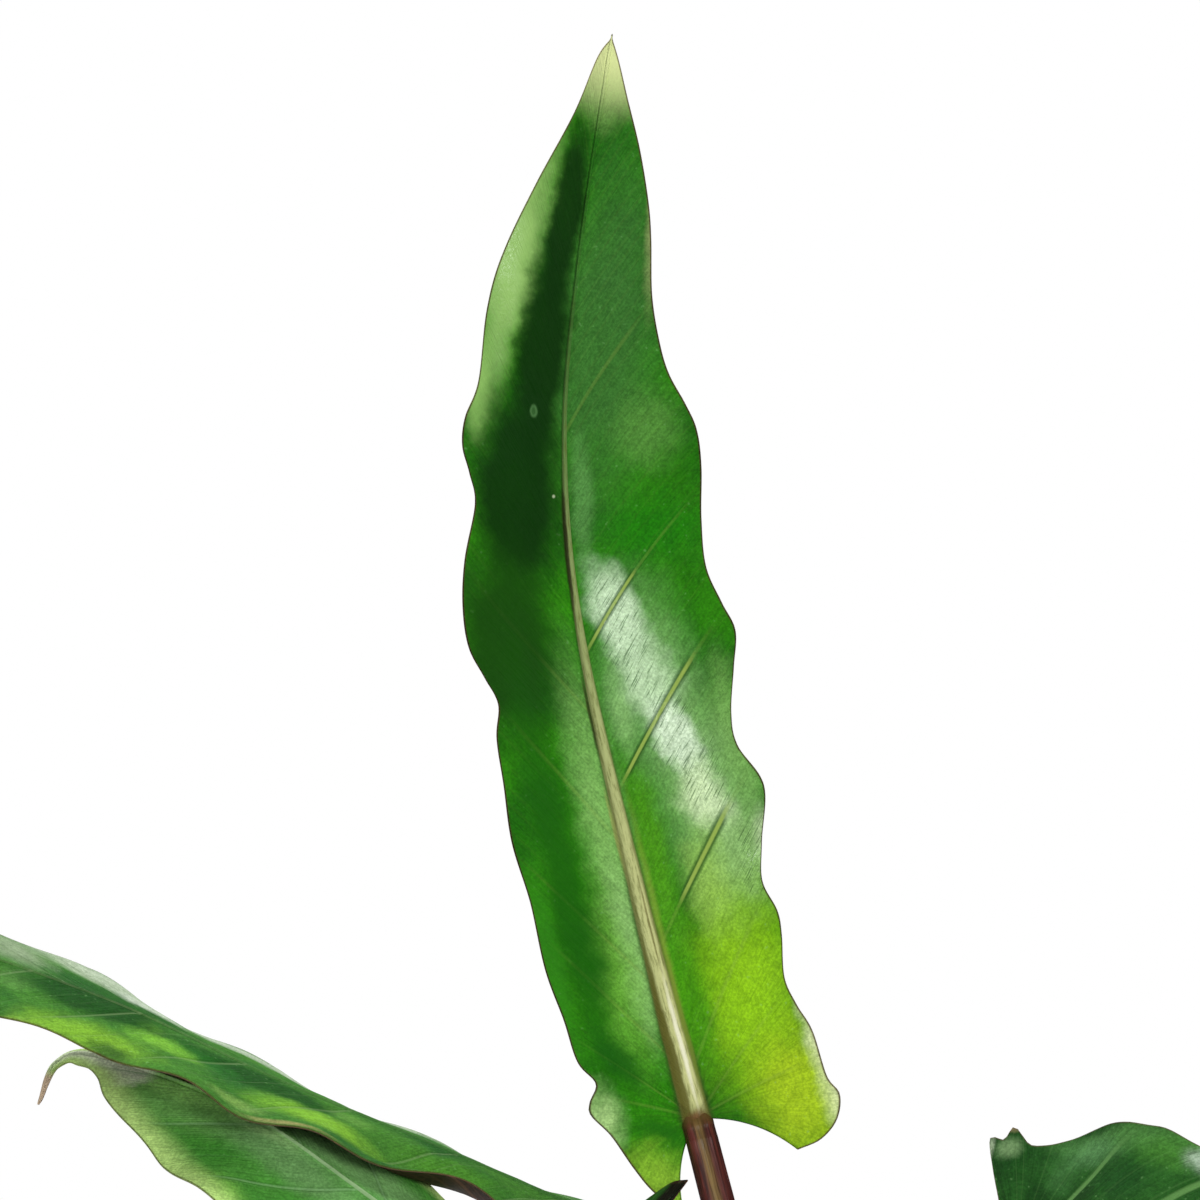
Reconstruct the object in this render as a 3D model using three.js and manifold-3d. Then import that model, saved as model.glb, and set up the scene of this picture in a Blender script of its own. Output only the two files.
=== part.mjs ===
// A potted Alocasia lauterbachiana: one upright sword-shaped leaf, six arching ones on maroon
// petioles, a short crown of sheath bases, potting soil and a plain 17 cm grower's pot.
// Millimetres, +Z up. The origin is the centre of the pot's foot, on the surface it stands on.
// The upright leaf shows its upper face towards -Y, and +X is to its right.

import * as THREE from "three";
import { mergeVertices } from "three/addons/utils/BufferGeometryUtils.js";
import Module from "manifold-3d";

const wasm = await Module();
wasm.setup();

// Play between pieces that only touch.
const GAP = 0.3;

// The pot: a tapered shell whose rim stands out in a band round the top.
const POT_HEIGHT = 147;
const POT_RIM_RADIUS = 85;
const POT_FOOT_RADIUS = 58;
const POT_WALL = 1.8;
const POT_FLOOR = 3;
const POT_SEGMENTS = 40;
const FOOT_BEVEL = 2.5;
const RIM_DEPTH = 19;
const RIM_STEP = 5.2;
const RIM_WALL = 2;
const DRAIN_COUNT = 8;
const DRAIN_RADIUS = 4.5;
const DRAIN_CIRCLE = 36;

// The soil: level, how far it mounds up towards the crown, and the height of its lumps.
const SOIL_LEVEL = 127;
const SOIL_MOUND = 2;
const SOIL_RELIEF = 1.9;
const SOIL_RINGS = [24, 32, 41, 50, 59, 67, 74];

// The crown: a short stem in the soil, and the sheaths that its petioles rise from.
const CROWN_BOTTOM = 96;
const CROWN_BOTTOM_RADIUS = 12.2;
const CROWN_RADIUS = 17;
const CROWN_SHOULDER = 108;
const CROWN_TOP = 142;
const CROWN_TOP_RADIUS = 12;
const SHEATH_FOOT = 116;
const SHEATH_TOP = 158;
const SHEATH_FOOT_RING = 6.2;
const SHEATH_TOP_RING = 15.5;
const SHEATH_FLARE = 1.03;

// A petiole tapers from the sheath to the blade and has a channel this deep, as a share.
const PETIOLE_FOOT_RADIUS = 6;
const PETIOLE_TOP_RADIUS = 3.8;
const PETIOLE_SIDES = 10;
const PETIOLE_STEPS = 11;
const CHANNEL_SHARE = 0.22;

// The collar, where petiole turns into midrib: its length on the petiole, how far it drops behind
// the blade, and its rings along the midrib as [distance, radius].
const COLLAR_LENGTH = 5;
const COLLAR_DROP = 1.6;
const COLLAR_RINGS = [[4, 3], [11, 2.2]];

// The blade: thickness, the midrib's keel below it, and how its rows of points are laid out.
const BLADE_THICKNESS = 0.8;
const KEEL_DEPTH = 3.4;
const KEEL_HALF_WIDTH = 3.4;
const KEEL_TAPER = 0.75;
const ROW_SHARES = [0.5, 0.78, 1];
const FAN_REACH = 33;
const LEAST_SPACING = 9;
const MARGIN_STEPS = 300;
const CURVE_DIVISIONS = 400;
const SINUS_BOW = 2.4;
const VEIN_BOW = 1.5;
const VEIN_BOW_FULL_AT = 36;
const LOBE_LENGTH = 20;
const EDGE_SINKS_FROM = 0.25;
const EDGE_TURNS_FROM = 0.65;
const CALM_TIP = [8, 70];

// The margin of a blade without stations of its own: spacing of its waves and depth of its ripple.
const USUAL_CREST_SPACING = 38;
const USUAL_RIPPLE = 0.055;

// The usual outline of a blade: distance along the midrib as a share of its length, and half
// width as a share of the widest, from the lobe's end round to the tip.
const USUAL_MARGIN = [
  [-0.085, 0.66],
  [-0.062, 0.9],
  [-0.02, 1.02],
  [0.05, 0.97],
  [0.2, 0.93],
  [0.4, 1.0],
  [0.56, 0.96],
  [0.7, 0.74],
  [0.82, 0.49],
  [0.92, 0.22],
  [0.975, 0.08],
  [1, 0],
];

// The leaves. bearing is where the sheath stands round the crown, in degrees from +X, or null for
// the middle one. petiole and spine are points on their centrelines, the petiole's from above the
// sheath up to the blade and the spine's from there to the tip. channel is the grooved side of the
// petiole, and facing the direction of the upper face at each spine point. fold and curl are the
// slope and the bend of the left and right half. margins are [along the midrib, half width], from
// the lobe's end to the tip, seen with the tip up, and crests are where the margin waves upward.
const LEAVES = [
  {
    name: "1_upright",
    bearing: null,
    channel: [0, -1, 0],
    petiole: [[-1.5, 2, 200], [-8.5, 5, 262], [-22.4, 8, 338]],
    spine: [[-40.7, 8, 411], [-54.5, 13, 464], [-68.2, 17, 526], [-71.9, 17, 571], [-68.5, 14, 614],
      [-60.6, 6, 667]],
    facing: [[0.05, -1, 0.06], [0.05, -1, 0.05], [0, -1, 0], [-0.04, -1, 0], [-0.04, -1, 0.05],
      [0, -1, 0.1]],
    rows: 32,
    fold: [-0.3, -0.2],
    curl: [0.34, 0.16],
    wave: 2.6,
    margins: {
      left: [[-22, 8.5], [-14, 14.2], [-8, 17], [1, 20.4], [7, 24], [10, 23.4], [14, 20.8], [20, 23.6],
        [30, 24.4], [42, 25.6], [58, 25.2], [73, 26.3], [87, 25], [98, 24.2], [105.5, 22.2],
        [112, 24.2], [119, 26.6], [128, 26.6], [138, 25], [150, 21.6], [157, 22.6], [163, 24.1],
        [169, 23.6], [177, 20.9], [193, 20.3], [206, 18.2], [223, 12.6], [241, 6.1], [255, 2.6],
        [260.2, 0]],
      right: [[-13, 21.5], [-12, 27.3], [-8.5, 32], [-3, 34.1], [2, 32.3], [13, 32], [20, 30],
        [27, 28.8], [37, 30.6], [43, 31], [51, 29.5], [60, 31.6], [73, 34.8], [84, 31.1],
        [92, 31.4], [103, 34.2], [112, 36.2], [120, 34.2], [130, 31.7], [143, 31.7], [157, 32.3],
        [167, 31.2], [174, 28.3], [182, 23.8], [190, 20.9], [201, 18], [214, 16.2], [223, 14.3],
        [235, 10.5], [247, 5.6], [255, 2.4], [260.2, 0]],
    },
    crests: { left: [-16, 8, 32, 73, 122, 163, 200], right: [-4, 40, 73, 112, 156, 200] },
  },
  {
    name: "2_left_upper",
    bearing: 172,
    channel: [1, 0, 0],
    petiole: [[-19, 2, 200], [-27, 0, 270], [-40, -13, 340]],
    spine: [[-54, -30, 387], [-97, -41, 406.5], [-137, -50, 424], [-177, -60, 443.5], [-219, -72, 457],
      [-261, -84, 453]],
    facing: [[0.35, -0.1, 1], [0.35, -0.06, 1], [0.4, -0.11, 1], [0.4, -0.24, 1], [0.15, -0.66, 1],
      [-0.1, -0.5, 1]],
    halfWidth: 28.5,
    rows: 24,
    fold: [-0.13, -0.13],
    curl: [0, 0],
    wave: 1.6,
    lobeReach: 0.5,
    lobeRise: [0, 108],
    crests: { left: [10, 50, 86, 118, 154, 190, 220], right: [6, 50, 94, 138, 181, 215] },
    turnedUp: { side: "left", at: 55, reach: 27, sink: 3.6, rise: 5.2 },
  },
  {
    name: "3_left_lower",
    bearing: 226,
    channel: [0.8, 0.4, 0],
    petiole: [[-17, -22, 200], [-29, -47, 260], [-44, -76, 315]],
    spine: [[-63.5, -105, 358], [-90, -94, 382], [-118, -78, 402], [-146, -62, 419], [-177.5, -45, 429],
      [-188, -42, 427.5], [-192, -43, 418]],
    facing: [[0.2, -0.55, 0.85], [0.3, -0.55, 0.85], [0.34, -0.5, 0.85], [0.34, -0.5, 0.85],
      [0.1, -0.5, 0.9], [-0.4, -0.4, 0.8], [-0.9, -0.3, 0.2]],
    rows: 21,
    fold: [-0.34, -0.26],
    curl: [0.06, 0],
    wave: 1.8,
    margins: {
      left: [[-13, 8], [-17, 15], [-15, 22], [-6, 26.5], [6, 25.4], [22, 27], [42, 25.4], [62, 27.2],
        [80, 25.8], [98, 26.4], [111, 24], [121, 20], [132, 15.5], [141, 10.5], [146, 6], [150, 3.8],
        [154, 3.2], [158, 2], [166, 1.2], [172, 0]],
      right: [[-11, 8], [-15, 14], [-12, 21], [-4, 25], [12, 24.5], [34, 26], [58, 24.6], [82, 25.6],
        [104, 23], [122, 19], [136, 13], [145, 6.5], [150, 3.8], [154, 3.2], [158, 2], [166, 1.2],
        [172, 0]],
    },
    crests: { left: [-10, 22, 62, 98, 132, 172], right: [-8, 34, 82, 120, 160, 200] },
  },
  {
    name: "4_right_front",
    bearing: 328,
    channel: [-1, 0, 0],
    petiole: [[16, -12, 200], [20, -19, 270], [26, -33, 335]],
    spine: [[31, -45, 382.5], [68.5, -60, 383.5], [116.5, -74, 375.5], [160, -88, 348], [189, -98, 310],
      [201, -103, 278]],
    facing: [[0, -0.8, 0.6], [0, -0.8, 0.6], [0.12, -0.75, 0.62], [0.35, -0.7, 0.6], [0.55, -0.7, 0.4],
      [0.6, -0.7, 0.25]],
    rows: 23,
    fold: [0.04, 0.1],
    curl: [0, 0.05],
    wave: 3,
    margins: {
      left: [[-3.8, 8], [-5.9, 15], [-8.9, 24], [-10.9, 31.8], [-7.2, 30.9], [-5.2, 34], [-2.8, 31.8],
        [-0.8, 30.2], [3, 31.3], [7, 33.4], [12, 35.3], [17, 35.5], [22, 34.8], [27, 34.1], [31, 33.9],
        [36.5, 31.8], [41, 30.6], [46, 30.1], [52, 29.8], [62, 31.4], [75, 33.4], [90, 30.6], [106, 32],
        [124, 28.4], [142, 29], [160, 23.4], [178, 20], [196, 13], [212, 6], [224, 2], [229, 0]],
      right: [[-10, 9], [-17, 17], [-18, 25], [-10, 31.5], [2, 31], [18, 29], [34, 32.4], [52, 31],
        [70, 29.4], [88, 32.6], [106, 30], [124, 29.8], [142, 25.6], [160, 23], [178, 17], [196, 12],
        [212, 5.5], [224, 2], [229, 0]],
    },
    crests: { left: [-6, 24, 70, 106, 142, 178, 214], right: [-12, 34, 88, 130, 170, 210] },
  },
  {
    name: "5_right_rear",
    bearing: 40,
    channel: [-0.7, -0.7, 0],
    petiole: [[15, 14, 200], [20, 22, 262], [27, 36, 318]],
    spine: [[38, 50, 345], [70, 80, 358], [106, 116, 350], [138, 150, 322], [158, 174, 284],
      [166, 186, 250]],
    facing: [[-0.3, -0.3, 1], [-0.05, -0.1, 1], [0.2, 0.2, 1], [0.45, 0.45, 0.8], [0.6, 0.6, 0.5],
      [0.65, 0.7, 0.3]],
    halfWidth: 29,
    rows: 22,
    fold: [0.18, 0.18],
    curl: [-0.1, -0.1],
    wave: 3.4,
    phase: 0.1,
    lobeReach: 1.1,
  },
  {
    name: "6_left_rear",
    bearing: 106,
    channel: [0.6, -0.8, 0],
    petiole: [[-9, 21, 190], [-17, 32, 240], [-28, 46, 280]],
    spine: [[-42, 62, 302], [-70, 92, 312], [-100, 124, 300], [-124, 152, 270], [-138, 170, 236],
      [-144, 178, 210]],
    facing: [[0.25, -0.3, 1], [0.05, -0.05, 1], [-0.25, 0.25, 1], [-0.45, 0.55, 0.7],
      [-0.6, 0.7, 0.4], [-0.6, 0.75, 0.3]],
    halfWidth: 26,
    rows: 22,
    fold: [0.16, 0.16],
    curl: [-0.08, -0.08],
    wave: 3.0,
    phase: 0.8,
    lobeReach: 1,
  },
  {
    name: "7_front_low",
    bearing: 279,
    channel: [-0.3, 1, 0],
    petiole: [[5, -22, 185], [9, -34, 222], [15, -50, 250]],
    spine: [[24, -68, 266], [42, -104, 274], [62, -144, 262], [78, -176, 234], [87, -194, 204],
      [91, -202, 182]],
    facing: [[-0.2, 0.35, 1], [-0.05, 0.05, 1], [0.15, -0.3, 1], [0.3, -0.6, 0.7],
      [0.35, -0.8, 0.4], [0.35, -0.8, 0.3]],
    halfWidth: 25,
    rows: 20,
    fold: [0.2, 0.2],
    curl: [-0.1, -0.1],
    wave: 2.8,
    phase: 0.35,
    lobeReach: 1,
  },
];

const potFinish = new THREE.MeshStandardMaterial({ color: 0x34363a, roughness: 0.55 });
const soilFinish = new THREE.MeshStandardMaterial({ color: 0x33241a, roughness: 0.95 });
const crownFinish = new THREE.MeshStandardMaterial({ color: 0x5d4a3a, roughness: 0.7 });
const petioleFinish = new THREE.MeshStandardMaterial({ color: 0x4a2426, roughness: 0.45 });
const bladeFinish = new THREE.MeshStandardMaterial({ color: 0x2c7a22, roughness: 0.35 });

// Turns a closed geometry into a solid that can be cut and joined.
function toSolid(geometry) {
  const bare = new THREE.BufferGeometry();
  bare.setAttribute("position", geometry.getAttribute("position"));
  bare.setIndex(geometry.getIndex());
  const merged = mergeVertices(bare, 1e-4);
  return new wasm.Manifold(
    new wasm.Mesh({
      numProp: 3,
      vertProperties: new Float32Array(merged.getAttribute("position").array),
      triVerts: new Uint32Array(merged.getIndex().array),
    }),
  );
}

// Turns a solid back into a geometry that can be drawn.
function toGeometry(solid) {
  const mesh = solid.getMesh();
  const geometry = new THREE.BufferGeometry();
  geometry.setAttribute("position", new THREE.BufferAttribute(mesh.vertProperties, 3));
  geometry.setIndex(new THREE.BufferAttribute(mesh.triVerts, 1));
  geometry.computeVertexNormals();
  return geometry;
}

// The main body of a solid, without the scraps that a join can leave beside it.
function mainBody(solid) {
  return solid.decompose().reduce((a, b) => (a.volume() > b.volume() ? a : b));
}

function vector(list) {
  return new THREE.Vector3(...list);
}

function smoothCurve(points) {
  const curve = new THREE.CatmullRomCurve3(points, false, "catmullrom");
  curve.arcLengthDivisions = CURVE_DIVISIONS;
  return curve;
}

// Joins rings of points, all with the same count, into one closed solid with flat ends.
function loft(rings) {
  const sides = rings[0].length;
  const positions = rings.flat().flatMap((p) => [p.x, p.y, p.z]);
  const faces = [];
  for (let r = 0; r + 1 < rings.length; r += 1) {
    for (let k = 0; k < sides; k += 1) {
      const next = (k + 1) % sides;
      const a = r * sides + k;
      const b = r * sides + next;
      const c = a + sides;
      const d = b + sides;
      faces.push(a, b, d, a, d, c);
    }
  }
  const last = (rings.length - 1) * sides;
  for (let k = 1; k + 1 < sides; k += 1) {
    faces.push(0, k + 1, k);
    faces.push(last, last + k, last + k + 1);
  }
  const geometry = new THREE.BufferGeometry();
  geometry.setAttribute("position", new THREE.Float32BufferAttribute(positions, 3));
  geometry.setIndex(faces);
  return geometry;
}

// The petiole's section: round, with a shallow channel on the side that faces the crown.
function petioleRing(centre, tangent, channel, radius) {
  const front = channel.clone().addScaledVector(tangent, -channel.dot(tangent)).normalize();
  const side = new THREE.Vector3().crossVectors(front, tangent);
  const ring = [];
  for (let k = 0; k < PETIOLE_SIDES; k += 1) {
    const angle = (2 * Math.PI * k) / PETIOLE_SIDES;
    const reach = radius * (k === 0 ? 1 - CHANNEL_SHARE : 1);
    ring.push(
      centre
        .clone()
        .addScaledVector(front, reach * Math.cos(angle))
        .addScaledVector(side, -reach * Math.sin(angle)),
    );
  }
  return ring;
}

// The centreline of a petiole, from its foot in the crown up to the blade.
function petioleCurve(leaf) {
  const middle = leaf.bearing === null;
  const bearing = THREE.MathUtils.degToRad(leaf.bearing ?? 0);
  const outward = new THREE.Vector3(Math.cos(bearing), Math.sin(bearing), 0);
  const foot = outward.clone().multiplyScalar(middle ? 0 : SHEATH_FOOT_RING).setZ(SHEATH_FOOT);
  const top = outward.clone().multiplyScalar(middle ? 0 : SHEATH_TOP_RING).setZ(SHEATH_TOP);
  return smoothCurve([foot, top, ...leaf.petiole.map(vector), vector(leaf.spine[0])]);
}

// A stretch of the petiole between two distances along its centreline, as a closed tube.
function petioleStretch(leaf, curve, from, to, steps, flare = 1) {
  const length = curve.getLength();
  const rings = [];
  for (let i = 0; i <= steps; i += 1) {
    const at = from + ((to - from) * i) / steps;
    const share = Math.min(1, at / length);
    const radius = THREE.MathUtils.lerp(PETIOLE_FOOT_RADIUS * flare, PETIOLE_TOP_RADIUS, share);
    const centre = curve.getPointAt(share);
    rings.push(petioleRing(centre, curve.getTangentAt(share), vector(leaf.channel), radius));
  }
  return loft(rings);
}

// How far along its centreline a petiole leaves the top of its sheath.
function sheathEnd(curve) {
  const lengths = curve.getLengths(CURVE_DIVISIONS);
  const step = lengths.findIndex((_, i) => curve.getPoint(i / CURVE_DIVISIONS).z >= SHEATH_TOP);
  return lengths[step];
}

// The side's own margin stations, or the usual outline at this leaf's size with a ripple along it.
function marginStations(leaf, side, length) {
  if (leaf.margins) return leaf.margins[side];
  return USUAL_MARGIN.map(([share, wide]) => {
    const along = length * (share < 0 ? share * leaf.lobeReach : share);
    const fade = THREE.MathUtils.smoothstep(along, 0, FAN_REACH);
    const ripple = fade * USUAL_RIPPLE * Math.cos(waveTurn(leaf, side, along));
    return [along, leaf.halfWidth * wide * (1 + ripple)];
  });
}

// How far the margin's wave has turned at a distance along the midrib, in radians.
function waveTurn(leaf, side, along) {
  const crests = leaf.crests?.[side];
  if (!crests) {
    const shift = side === "left" ? leaf.phase : leaf.phase + 0.5;
    return 2 * Math.PI * (along / USUAL_CREST_SPACING + shift);
  }
  let i = 0;
  while (i + 2 < crests.length && along > crests[i + 1]) i += 1;
  return 2 * Math.PI * (i + (along - crests[i]) / (crests[i + 1] - crests[i]));
}

// The outer ends of one side's rows: the lobe's, which follow its stations, and the rest, evenly
// spaced along the midrib up to the tip.
function outerEnds(stations, length, mainRows) {
  const curve = smoothCurve(stations.map(([along, across]) => new THREE.Vector3(along, across, 0)));
  const last = stations.length - 1;
  const lobe = [];
  for (let k = 0; k < 2 * last; k += 1) {
    const point = curve.getPoint(k / 2 / last);
    const [from, to] = [stations[Math.floor(k / 2)], stations[Math.ceil(k / 2)]];
    const halfway = k % 2 === 1;
    if (point.x >= FAN_REACH - LEAST_SPACING / 2) break;
    if (halfway && Math.hypot(to[0] - from[0], to[1] - from[1]) < LEAST_SPACING) continue;
    lobe.push([point.x, point.y]);
  }
  const fine = curve.getPoints(MARGIN_STEPS);
  const rest = [];
  for (let i = 0; i < mainRows; i += 1) {
    const inner = (length * i) / mainRows;
    const along = inner + FAN_REACH * (1 - (inner / length) ** 4);
    const beyond = fine.findLastIndex((point) => point.x <= along);
    const [before, after] = [fine[beyond], fine[Math.min(beyond + 1, MARGIN_STEPS)]];
    const share = (along - before.x) / Math.max(after.x - before.x, 1e-6);
    rest.push([inner, along, THREE.MathUtils.lerp(before.y, after.y, share)]);
  }
  return { lobe, rest };
}

// One side's rows, each from the midrib out to the margin as the side veins run: those of the lobe
// fan out from the petiole, and the rest lean towards the tip.
function rowsOf(leaf, side, length) {
  const { lobe, rest } = outerEnds(marginStations(leaf, side, length), length, leaf.rows);
  const fan = lobe.map(([along, across], i) => ({
    inner: 0,
    along,
    across,
    bow: SINUS_BOW * (1 - i / lobe.length) ** 2,
  }));
  const main = rest.map(([inner, along, across]) => ({
    inner,
    along,
    across,
    bow: -VEIN_BOW * Math.min(1, across / VEIN_BOW_FULL_AT),
  }));
  return [...fan, ...main, { inner: length, along: length, across: 0, bow: 0 }];
}

// The frame of the blade at a distance along its midrib: point, tangent, upper side and right side.
function bladeFrame(leaf, curve, length, along) {
  const share = THREE.MathUtils.clamp(along / length, 0, 1);
  const point = curve.getPointAt(share);
  const tangent = curve.getTangentAt(share);
  if (along < 0) point.addScaledVector(tangent, along);
  const place = curve.getUtoTmapping(share) * (leaf.facing.length - 1);
  const i = Math.min(leaf.facing.length - 2, Math.floor(place));
  const up = vector(leaf.facing[i]).normalize();
  up.lerp(vector(leaf.facing[i + 1]).normalize(), place - i);
  up.addScaledVector(tangent, -up.dot(tangent)).normalize();
  return { point, tangent, up, right: new THREE.Vector3().crossVectors(tangent, up) };
}

// How far a spot of the blade stands above the plane through its midrib: the fold along the
// midrib, the curl of the sides, the wave of the margin, a raised lobe, and an edge that turns up
// out of a hollow.
function liftAt(leaf, side, widest, length, along, across) {
  const s = side === "left" ? 0 : 1;
  const wide = across / widest;
  const calm = THREE.MathUtils.smoothstep(length - along, ...CALM_TIP);
  const wave = leaf.wave * calm * wide ** 2 * Math.cos(waveTurn(leaf, side, along));
  const lobe = (leaf.lobeRise?.[s] ?? 0) * (Math.max(0, -along) / LOBE_LENGTH) ** 2 * wide;
  const turned = leaf.turnedUp;
  let edge = 0;
  if (turned?.side === side) {
    const near = Math.max(0, 1 - ((along - turned.at) / turned.reach) ** 2) ** 2;
    const sunk = turned.sink * THREE.MathUtils.smoothstep(wide, EDGE_SINKS_FROM, EDGE_TURNS_FROM);
    const risen = turned.rise * THREE.MathUtils.smoothstep(wide, EDGE_TURNS_FROM, 1);
    edge = near * (risen - sunk);
  }
  return leaf.fold[s] * across + leaf.curl[s] * across * wide + wave + lobe + edge;
}

// One blade, as a sheet without thickness and how deep its keel is at each point.
function bladeSheet(leaf) {
  const curve = smoothCurve(leaf.spine.map(vector));
  const length = curve.getLength();
  const points = [];
  const keel = [];
  const faces = [];
  const known = new Map();

  // Points of the midrib and the tip are shared by both sides.
  const place = (key, along, across, lift, depth) => {
    if (!known.has(key)) {
      const { point, up, right } = bladeFrame(leaf, curve, length, along);
      known.set(key, points.length);
      points.push(point.addScaledVector(right, across).addScaledVector(up, lift));
      keel.push(depth);
    }
    return known.get(key);
  };

  for (const side of ["left", "right"]) {
    const sign = side === "left" ? -1 : 1;
    const rows = rowsOf(leaf, side, length);
    const widest = Math.max(...rows.map((row) => row.across));
    const grid = rows.map((row, i) => {
      const reach = Math.max(Math.hypot(row.along - row.inner, row.across), 1e-6);
      const taper = 1 - KEEL_TAPER * (row.inner / length);
      const rib = Math.min(0.3, (KEEL_HALF_WIDTH * taper) / reach);
      return [0, rib, ...ROW_SHARES].map((share, j) => {
        const bend = 4 * share * (1 - share) * row.bow;
        const ahead = THREE.MathUtils.lerp(row.inner, row.along, share);
        const along = ahead + (bend * row.across) / reach;
        const across = row.across * share - (bend * (row.along - row.inner)) / reach;
        const lift = liftAt(leaf, side, widest, length, along, Math.max(0, across));
        if (i === rows.length - 1) return place("tip", length, 0, 0, KEEL_DEPTH * taper);
        if (j === 0) return place(`midrib ${row.inner}`, row.inner, 0, 0, KEEL_DEPTH * taper);
        return place(`${side} ${i} ${j}`, along, sign * across, lift, 0);
      });
    });
    for (let i = 0; i + 1 < grid.length; i += 1) {
      for (let j = 0; j + 1 < grid[i].length; j += 1) {
        const quad = [grid[i][j], grid[i][j + 1], grid[i + 1][j + 1], grid[i + 1][j]];
        if (side === "left") quad.reverse();
        faces.push([quad[0], quad[1], quad[2]], [quad[0], quad[2], quad[3]]);
      }
    }
  }
  const real = faces.filter(([a, b, c]) => a !== b && b !== c && a !== c);
  return { points, keel, faces: real };
}

// Gives a sheet its thickness: the same triangles above and below, and a wall round the edge.
function thicken({ points, keel, faces }) {
  const normals = points.map(() => new THREE.Vector3());
  const edges = new Map();
  for (const face of faces) {
    const [a, b, c] = face.map((i) => points[i]);
    const normal = b.clone().sub(a).cross(c.clone().sub(a));
    face.forEach((i) => normals[i].add(normal));
    face.forEach((from, k) => edges.set(`${from}_${face[(k + 1) % 3]}`, [from, face[(k + 1) % 3]]));
  }
  normals.forEach((n) => n.normalize());
  const count = points.length;
  const half = BLADE_THICKNESS / 2;
  const above = points.map((p, i) => p.clone().addScaledVector(normals[i], half));
  const below = points.map((p, i) => p.clone().addScaledVector(normals[i], -half - keel[i]));
  const index = faces.flatMap(([a, b, c]) => [a, b, c, a + count, c + count, b + count]);
  for (const [from, to] of edges.values()) {
    if (!edges.has(`${to}_${from}`)) index.push(to, from, from + count, to, from + count, to + count);
  }
  const geometry = new THREE.BufferGeometry();
  const flat = [...above, ...below].flatMap((p) => [p.x, p.y, p.z]);
  geometry.setAttribute("position", new THREE.Float32BufferAttribute(flat, 3));
  geometry.setIndex(index);
  return geometry;
}

// The collar swings from the petiole's direction into the midrib's, tapering into the keel.
function collar(leaf, curve) {
  const length = curve.getLength();
  const spine = smoothCurve(leaf.spine.map(vector));
  const spineLength = spine.getLength();
  const { up } = bladeFrame(leaf, spine, spineLength, 0);
  const channel = vector(leaf.channel);
  const rings = [0, 0.5, 0.85].map((at) => {
    const share = 1 - (COLLAR_LENGTH * (1 - at)) / length;
    const centre = curve.getPointAt(share).addScaledVector(up, -COLLAR_DROP * at);
    return petioleRing(centre, curve.getTangentAt(share), channel, PETIOLE_TOP_RADIUS);
  });
  for (const [along, radius] of COLLAR_RINGS) {
    const { point, tangent, up: above } = bladeFrame(leaf, spine, spineLength, along);
    const grooved = channel.clone().lerp(above, Math.min(1, along / spineLength + 0.6));
    rings.push(petioleRing(point.addScaledVector(above, -COLLAR_DROP), tangent, grooved, radius));
  }
  return loft(rings);
}

// A blade with its collar, which fills out the end of the keel.
function makeBlade(leaf, curve) {
  const sheet = toSolid(thicken(bladeSheet(leaf)));
  const blade = mainBody(sheet.add(toSolid(collar(leaf, curve))));
  return named(`blade_${leaf.name}`, toGeometry(blade), bladeFinish);
}

function makePetiole(leaf, curve) {
  const to = curve.getLength() - COLLAR_LENGTH - GAP;
  const petiole = petioleStretch(leaf, curve, sheathEnd(curve), to, PETIOLE_STEPS);
  return named(`petiole_${leaf.name}`, petiole, petioleFinish);
}

// The outline that the crown and, grown by the play, its hole in the soil share.
function crownProfile(grow) {
  return [
    [0, CROWN_BOTTOM - grow],
    [CROWN_BOTTOM_RADIUS + grow, CROWN_BOTTOM - grow],
    [CROWN_RADIUS + grow, CROWN_SHOULDER],
  ];
}

// The short stem, half sunk in the soil, with the foot of every petiole's sheath fused to it.
function makeCrown(curves) {
  const above = SOIL_LEVEL + SOIL_MOUND + SOIL_RELIEF;
  const profile = [
    ...crownProfile(0),
    [CROWN_RADIUS, above],
    [CROWN_TOP_RADIUS, (above + CROWN_TOP) / 2],
    [0, CROWN_TOP],
  ];
  let crown = toSolid(lathe(profile, 2 * PETIOLE_SIDES));
  LEAVES.forEach((leaf, i) => {
    const end = sheathEnd(curves[i]) - GAP;
    crown = crown.add(toSolid(petioleStretch(leaf, curves[i], 0, end, 3, SHEATH_FLARE)));
  });
  return named("crown", toGeometry(crown), crownFinish);
}

function lathe(profile, segments) {
  const points = profile.map(([radius, height]) => new THREE.Vector2(radius, height));
  return new THREE.LatheGeometry(points, segments).rotateX(Math.PI / 2);
}

// The radius of the pot's inside wall at a height.
function potInside(height) {
  const share = height / (POT_HEIGHT - RIM_DEPTH);
  return THREE.MathUtils.lerp(POT_FOOT_RADIUS + FOOT_BEVEL, POT_RIM_RADIUS - RIM_STEP, share) - POT_WALL;
}

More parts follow.
